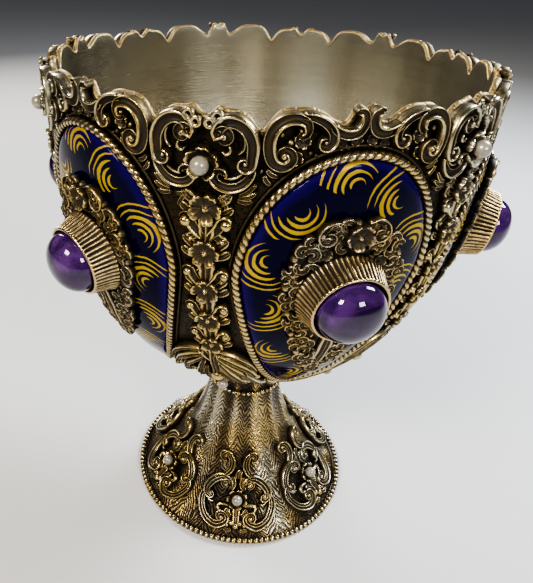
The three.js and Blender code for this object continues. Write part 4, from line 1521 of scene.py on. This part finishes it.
@dataclass
class Pearls:
    """Round pearls on the rim's rosettes and on the foot's castings."""

    radius: float = 1.65
    neck_radius: float = 1.35
    neck_drop: float = 77.0
    nacre: Nacre = field(default_factory=Nacre)

    def build(
        self, cup: Wall, foot: Wall, rim_drop: float, foot_rise: float, foot_turn: float
    ) -> None:
        """Adds both rings of pearls.

        Args:
            cup: the cup's wall.
            foot: the foot's wall.
            rim_drop: how far the rim's pearls are down the cup's wall.
            foot_rise: how far the foot's are up its wall.
            foot_turn: turn of the first foot casting.
        """
        material = self.nacre.material()
        pearl = ball(0, 0, 0, self.radius, 32)
        rim = pearl.mapped(cup.stand(-rim_drop, 3.3))
        add_ring("pearl_of_rim", rim, material, Slot.PEARL, "rim_pearl", SECTOR / 2)
        low = pearl.mapped(foot.stand(foot_rise, 3.2))
        add_ring("pearl_of_foot", low, material, Slot.PEARL, "foot_pearl", foot_turn)
        neck = ball(0, 0, 0, self.neck_radius, 24).mapped(cup.stand(-self.neck_drop, 3.3))
        for number in range(SECTORS):
            turned = neck.turned((number + 0.5) * SECTOR)
            add_piece(f"pearl_of_neck_{number + 1}", turned, material, Slot.PEARL)


def bead_wire(
    middle: float, height: float, beads: int, steps: int, sides: int, waist: float, swell: float,
    shine: float,
) -> Surface:
    """A level wire whose radius is the waist plus the swell times the root of a sine.

    Args:
        middle: radius of the ring that the wire makes.
        height: its height.
        beads: how many beads it has, one for each swing of the sine.
        steps: rings of points for each bead.
        sides: points round the wire.
        waist: the wire's radius between beads.
        swell: what a bead adds to it.
        shine: power of the sine that gives the wear.
    """
    turn = np.linspace(0, TURN, steps * beads, endpoint=False)
    bulge = np.abs(np.sin(beads * turn / 2)) ** 0.5
    radius = np.repeat((waist + swell * bulge)[:, None], sides + 1, axis=1)
    wear = np.append(bulge, bulge[0])[:, None] ** shine
    return Surface.grid(tube(around(middle, turn, height), radius, sides), wear).outward()


@dataclass
class Foot:
    """The trumpet foot with its chased bands, castings and beaded edge."""

    edge_radius: float = 34.2
    stem_radius: float = 10.8
    flare: float = 50.0
    exponent: float = 2.5
    top: float = 54.15
    thickness: float = 1.4
    rest_width: float = 1.8
    ridges: int = 12
    turn: float = math.radians(-18)
    pearl_rise: float = 12.3
    bead_radius: float = 0.9
    beads: int = 127
    neck_beads: int = 48
    neck_height: float = 41.3
    columns: int = 288
    metal: ChasedMetal = field(default_factory=ChasedMetal)

    def wall(self) -> Wall:
        """The outside: the stem's radius plus a power of the share of the flare left."""
        height = np.linspace(0, self.top, 400)
        left = np.clip(1 - height / self.flare, 0, 1)
        radius = self.stem_radius + (self.edge_radius - self.stem_radius) * left**self.exponent
        return Wall.through(radius, height, 0.0)

    def surface(self) -> Surface:
        """The foot on a grid: down the outside, under the rest ring and up the inside.

        Its flutes are hollows between sharp ridges: the absolute sine of half the turn times
        their number, deeper up the stem than on the flare. Wear falls under the cup, a painted shadow, and
        round each casting, painted shadow together with patina.
        """
        wall = self.wall()
        turn = np.linspace(0, TURN, self.columns + 1)[None]
        along = np.linspace(wall.along[-1], 0.4, 48)[:, None]
        radius, height, out_r, out_z = wall.at(along)
        place = turn / (TURN) * 2 * self.ridges
        across = np.abs(place % 1 - 0.5) * TURN * radius / (2 * self.ridges)
        stem = np.clip((height - 5) / 22, 0, 1)
        fold = np.abs(np.sin(self.ridges * turn / 2))
        off = (0.08 + 0.52 * stem) * (0.42 - fold**0.8)
        uneven = 0.12 * np.sin(5 * turn + 1) + 0.1 * np.sin(11 * turn)
        # Painted shadow: darker just under the cup, and round each casting, shadow together with patina.
        shadow = 0.35 * np.clip((height - 34) / 12, 0, 1)
        aside = ((turn - self.turn) / SECTOR + 0.5) % 1 - 0.5
        distance = np.hypot(aside * SECTOR * radius, along - self.pearl_rise + 1.0)
        shadow = shadow + 0.42 * np.exp(-((distance / 7.5) ** 4))
        wear = 0.36 + 0.5 * (1 - fold) ** 2 * (0.3 + 0.7 * stem) + uneven - shadow
        outside = around(radius + off * out_r, turn, height + off * out_z)
        back = np.linspace(1.0, wall.along[-1] - 3.5, 10)[:, None]
        low_radius, low_height, in_r, in_z = wall.at(back)
        inner_reach = low_radius - self.thickness * in_r
        inner_height = np.maximum(low_height - self.thickness * in_z, 0.0)
        inside = around(inner_reach, turn, inner_height)
        rest = [
            around(ring, turn, level)
            for ring, level in (
                (self.edge_radius, 0.05),
                (self.edge_radius - 0.2, 0.0),
                (self.edge_radius - self.rest_width, 0.0),
            )
        ]
        ends = np.zeros((1, turn.shape[1], 3))
        roof = float(inner_height[-1, 0])
        crown, ceiling = ends + (0, 0, self.top), ends + (0, 0, roof)
        points = np.concatenate([crown, outside, *rest, inside, ceiling])
        plain = np.full((1, turn.shape[1]), 0.3)
        rest_count = len(points) - len(wear) - 1
        worn = np.concatenate([plain, wear, np.repeat(plain, rest_count, axis=0)])
        chased = np.stack([across, along + 0 * across], axis=-1)
        pattern = np.concatenate([chased[:1], chased, np.repeat(chased[-1:], rest_count, axis=0)])
        return Surface.grid(points, worn, pattern).outward()

    def beaded_edge(self) -> Surface:
        """The beaded wire round the foot."""
        size = self.bead_radius
        middle = self.edge_radius + 0.2 + size
        return bead_wire(middle, size + 0.1, self.beads, 8, 10, 0.42 * size, 0.62 * size, 1.6)

    def neck(self) -> Surface:
        """A ring of beads round the stem, where it comes out from under the cup."""
        middle = self.stem_radius + 0.75
        return bead_wire(middle, self.neck_height, self.neck_beads, 6, 6, 0.22, 0.45, 1.0)

    def casting(self) -> Surface:
        """One openwork casting: two pairs of scrolls and a pair of horns round a pearl."""
        upper = (
            *spiral((3.6, 16.6), (2.4, 16.4), -1.0, 0.3)[::-1],
            (2.6, 17.8), (4.4, 18.9), (6.6, 17.9), (8.6, 15.8), (9.7, 13.6),
            *spiral((8.5, 12.7), (9.5, 12.3), -0.7, 0.4, 6),
        )
        lower = (
            (9.6, 13.2), (10.8, 11.4), (11.1, 9.0), (9.8, 5.5), (6.6, 3.8), (4.3, 4.6),
            *spiral((4.6, 6.3), (3.2, 5.7), -0.9, 0.35),
        )
        horn = (
            (4.2, 19.6), (2.6, 21.6), (2.1, 24.0), (2.9, 26.3),
            *spiral((4.1, 25.6), (4.1, 26.9), -0.6, 0.6, 5),
        )
        bands = [
            Band(upper, (1.3, 2.5, 1.2), 2.4, section=Section.REEDED, steps=52),
            Band(lower, (1.3, 2.6, 1.2), 2.4, section=Section.REEDED, steps=52),
            Band(horn, (1.6, 2.1, 0.9), 2.2, section=Section.REEDED, steps=32),
            Band(((2.3, 10.2), (4.2, 10.4), (5.8, 9.8), (5.6, 8.4), (4.4, 8.3)), (0.9, 1.4, 0.9), 1.9,
                 section=Section.ROUND, steps=20),
            Band(((1.5, 6.8), (2.8, 8.0), (2.4, 9.6)), (1.2, 2.0, 0.9), 1.8,
                 section=Section.LEAF, steps=12),
            Band(((2.3, 14.8), (1.3, 17.0), (1.7, 19.8)), (1.2, 1.9, 0.9), 1.9,
                 section=Section.LEAF, steps=12),
            Band(((9.6, 11.2), (8.3, 10.2), (7.2, 10.6)), (0.7, 1.1, 0.6), 1.5,
                 section=Section.ROUND, steps=12),
            Band(((3.9, 3.2), (2.4, 2.6), (1.2, 3.2)), (0.8, 1.4, 0.8), 1.5,
                 section=Section.LEAF, steps=12),
        ]
        half = [band.surface() for band in bands]
        half += [
            lens(3.6, 16.6, 0.95, 0, 2.3, 12),
            lens(8.5, 12.7, 1.0, 0, 2.3, 12),
            lens(4.6, 6.3, 1.05, 0, 2.3, 12),
            lens(4.1, 25.7, 0.7, 0, 2.0, 10),
            ball(1.3, 5.0, 1.0, 0.95, 12),
            ball(2.8, 4.2, 0.8, 0.75, 12),
        ]
        middle = [
            Band(((0, 18.6), (0.2, 20.6), (1.0, 22.0)), (1.6, 2.2, 0.6), 1.9,
                 section=Section.LEAF, steps=12).surface(),
            Band(((0, 9.6), (0, 7.2), (0, 4.4)), (1.8, 2.2, 1.0), 1.9,
                 section=Section.LEAF, steps=20, lobes=2).surface(),
            ball(0, 4.0, 1.0, 1.05, 12),
            *pearl_seat(self.pearl_rise, 3.3, 7),
        ]
        return Surface.joined([Surface.joined(half).both_sides(), *middle]).shaded(-0.1, 1.1)

    def build(self, metal: bpy.types.Material, trim: bpy.types.Material) -> None:
        """Adds the foot's body, its beaded edge and its six castings."""
        body = Surface.joined([self.surface(), self.neck()])
        add_piece("foot_trumpet", body, self.metal.material(), Slot.GILT_SILVER, "foot")
        add_piece("foot_beads", self.beaded_edge(), trim, Slot.PALE_GILT, "foot_beaded_edge")
        casting = self.casting().mapped(self.wall().place)
        add_ring("foot_scrolls", casting, metal, Slot.GILT_SILVER, "foot_casting", self.turn)


@dataclass
class Studio:
    """Pale floor, soft lights and the camera at the photograph's angle."""

    floor_size: float = 6.0
    floor_tone: Colour = (0.56, 0.56, 0.57)
    sky: Colour = (0.40, 0.42, 0.46)
    sky_strength: float = 0.2
    camera_turn: float = 13.6
    elevation: float = 32.56
    roll: float = 0.0245
    place: tuple[float, float, float] = (-46.0, -133.1, 161.0)
    focal_pixels: float = 553.57
    image_height: float = 583.0
    principal: float = -60.0

    def floor(self) -> None:
        """A wide pale floor just under the foot."""
        reach = self.floor_size / MM
        corners = reach * np.array([[-1, -1, 0], [1, -1, 0], [-1, 1, 0], [1, 1, 0]])
        shader = Shader("floor_pale")
        grain = shader.noise(40, 3)
        tone = tuple(0.96 * part for part in self.floor_tone)
        colour = shader.mix(grain, tone, self.floor_tone)
        material = shader.finish(Base_Color=colour, Roughness=0.75 + 0.05 * grain)
        floor = to_object("floor", Surface.grid(corners.reshape(2, 2, 3)), material)

    def light(
        self, name: str, place: tuple[float, float, float], size: float, power: float, tint: Colour
    ) -> None:
        """A square soft light that faces the middle of the cup."""
        data = bpy.data.lights.new(name, "AREA")
        data.shape = "SQUARE"
        data.size = size
        data.energy = power
        data.color = tint
        lamp = bpy.data.objects.new(name, data)
        away = np.array(place) - np.array((0, 0, 0.09))
        away /= np.linalg.norm(away)
        side = np.cross((0, 0, 1), away)
        side /= np.linalg.norm(side)
        up = np.cross(away, side)
        lamp.matrix_world = self.matrix(side, up, away, np.array(place))
        bpy.context.scene.collection.objects.link(lamp)

    @staticmethod
    def matrix(x: Array, y: Array, z: Array, place: Array) -> Matrix:
        """A placing matrix from three axes and a place."""
        whole = np.eye(4)
        whole[:3] = np.column_stack([x, y, z, place])
        return Matrix(whole)

    def camera(self) -> None:
        """The camera: right, up and back follow from turn, elevation and roll."""
        turn, rise = math.radians(self.camera_turn), math.radians(self.elevation)
        right = np.array([math.cos(turn), -math.sin(turn), 0])
        back = np.array([
            -math.cos(rise) * math.sin(turn), -math.cos(rise) * math.cos(turn), math.sin(rise)
        ])
        up = np.cross(back, right)
        c, s = math.cos(self.roll), math.sin(self.roll)
        data = bpy.data.cameras.new("photo_camera")
        data.sensor_width = 36.0
        data.lens = data.sensor_width * self.focal_pixels / self.image_height
        data.shift_x = -self.principal / self.image_height
        data.clip_start = 0.01
        camera = bpy.data.objects.new("photo_camera", data)
        camera.matrix_world = self.matrix(
            c * right + s * up, c * up - s * right, back, np.array(self.place) * MM
        )
        bpy.context.scene.collection.objects.link(camera)
        bpy.context.scene.camera = camera

    def world(self) -> None:
        """An even sky."""
        world = bpy.data.worlds.new("studio_sky")
        world.use_nodes = True
        background = world.node_tree.nodes["Background"]
        background.inputs["Color"].default_value = (*self.sky, 1.0)
        background.inputs["Strength"].default_value = self.sky_strength
        bpy.context.scene.world = world
        bpy.context.scene.view_settings.look = "AgX - Medium High Contrast"

    def build(self) -> None:
        """Sets everything up."""
        self.floor()
        self.world()
        self.light("key", (-0.42, -0.3, 0.5), 0.16, 5.4, (1.0, 0.92, 0.78))
        self.light("back", (-0.2, 0.6, 0.42), 0.24, 4.5, (1.0, 0.96, 0.9))
        self.light("window", (0.42, 0.12, 0.42), 0.2, 6.0, (0.88, 0.94, 1.0))
        self.light("front", (0.16, -0.5, 0.34), 0.14, 2.2, (1.0, 0.97, 0.92))
        self.camera()


def main() -> None:
    """Builds the chalice's pieces in order, then the studio."""
    logging.basicConfig(level=logging.INFO, format="%(message)s")
    cast = AgedMetal("cast_gilt_silver").material()
    trim = AgedMetal(
        "pale_gilt_trim", bright=(0.60, 0.44, 0.18), pale=(0.53, 0.46, 0.31), shift=0.0
    ).material()
    crusty = AgedMetal(
        "filigree_gilt", bright=(0.62, 0.44, 0.165), pale=(0.50, 0.43, 0.29), shift=-0.08, gap=1.9
    ).material()
    collar = AgedMetal(
        "collar_gilt", bright=(0.66, 0.46, 0.19), pale=(0.60, 0.45, 0.23), shift=0.02
    ).material()
    cup = Cup()
    wall = cup.wall()
    garland = GarlandCasting()
    cup.build(garland.edges())
    garland.build(cup, cast)
    Medallion().build(wall, trim)
    Filigree().build(wall, crusty)
    StoneSetting().build(wall, collar)
    foot = Foot()
    foot.build(cast, trim)
    Pearls().build(wall, foot.wall(), garland.pearl_drop, foot.pearl_rise, foot.turn)
    Studio().build()


if __name__ == "__main__":
    main()
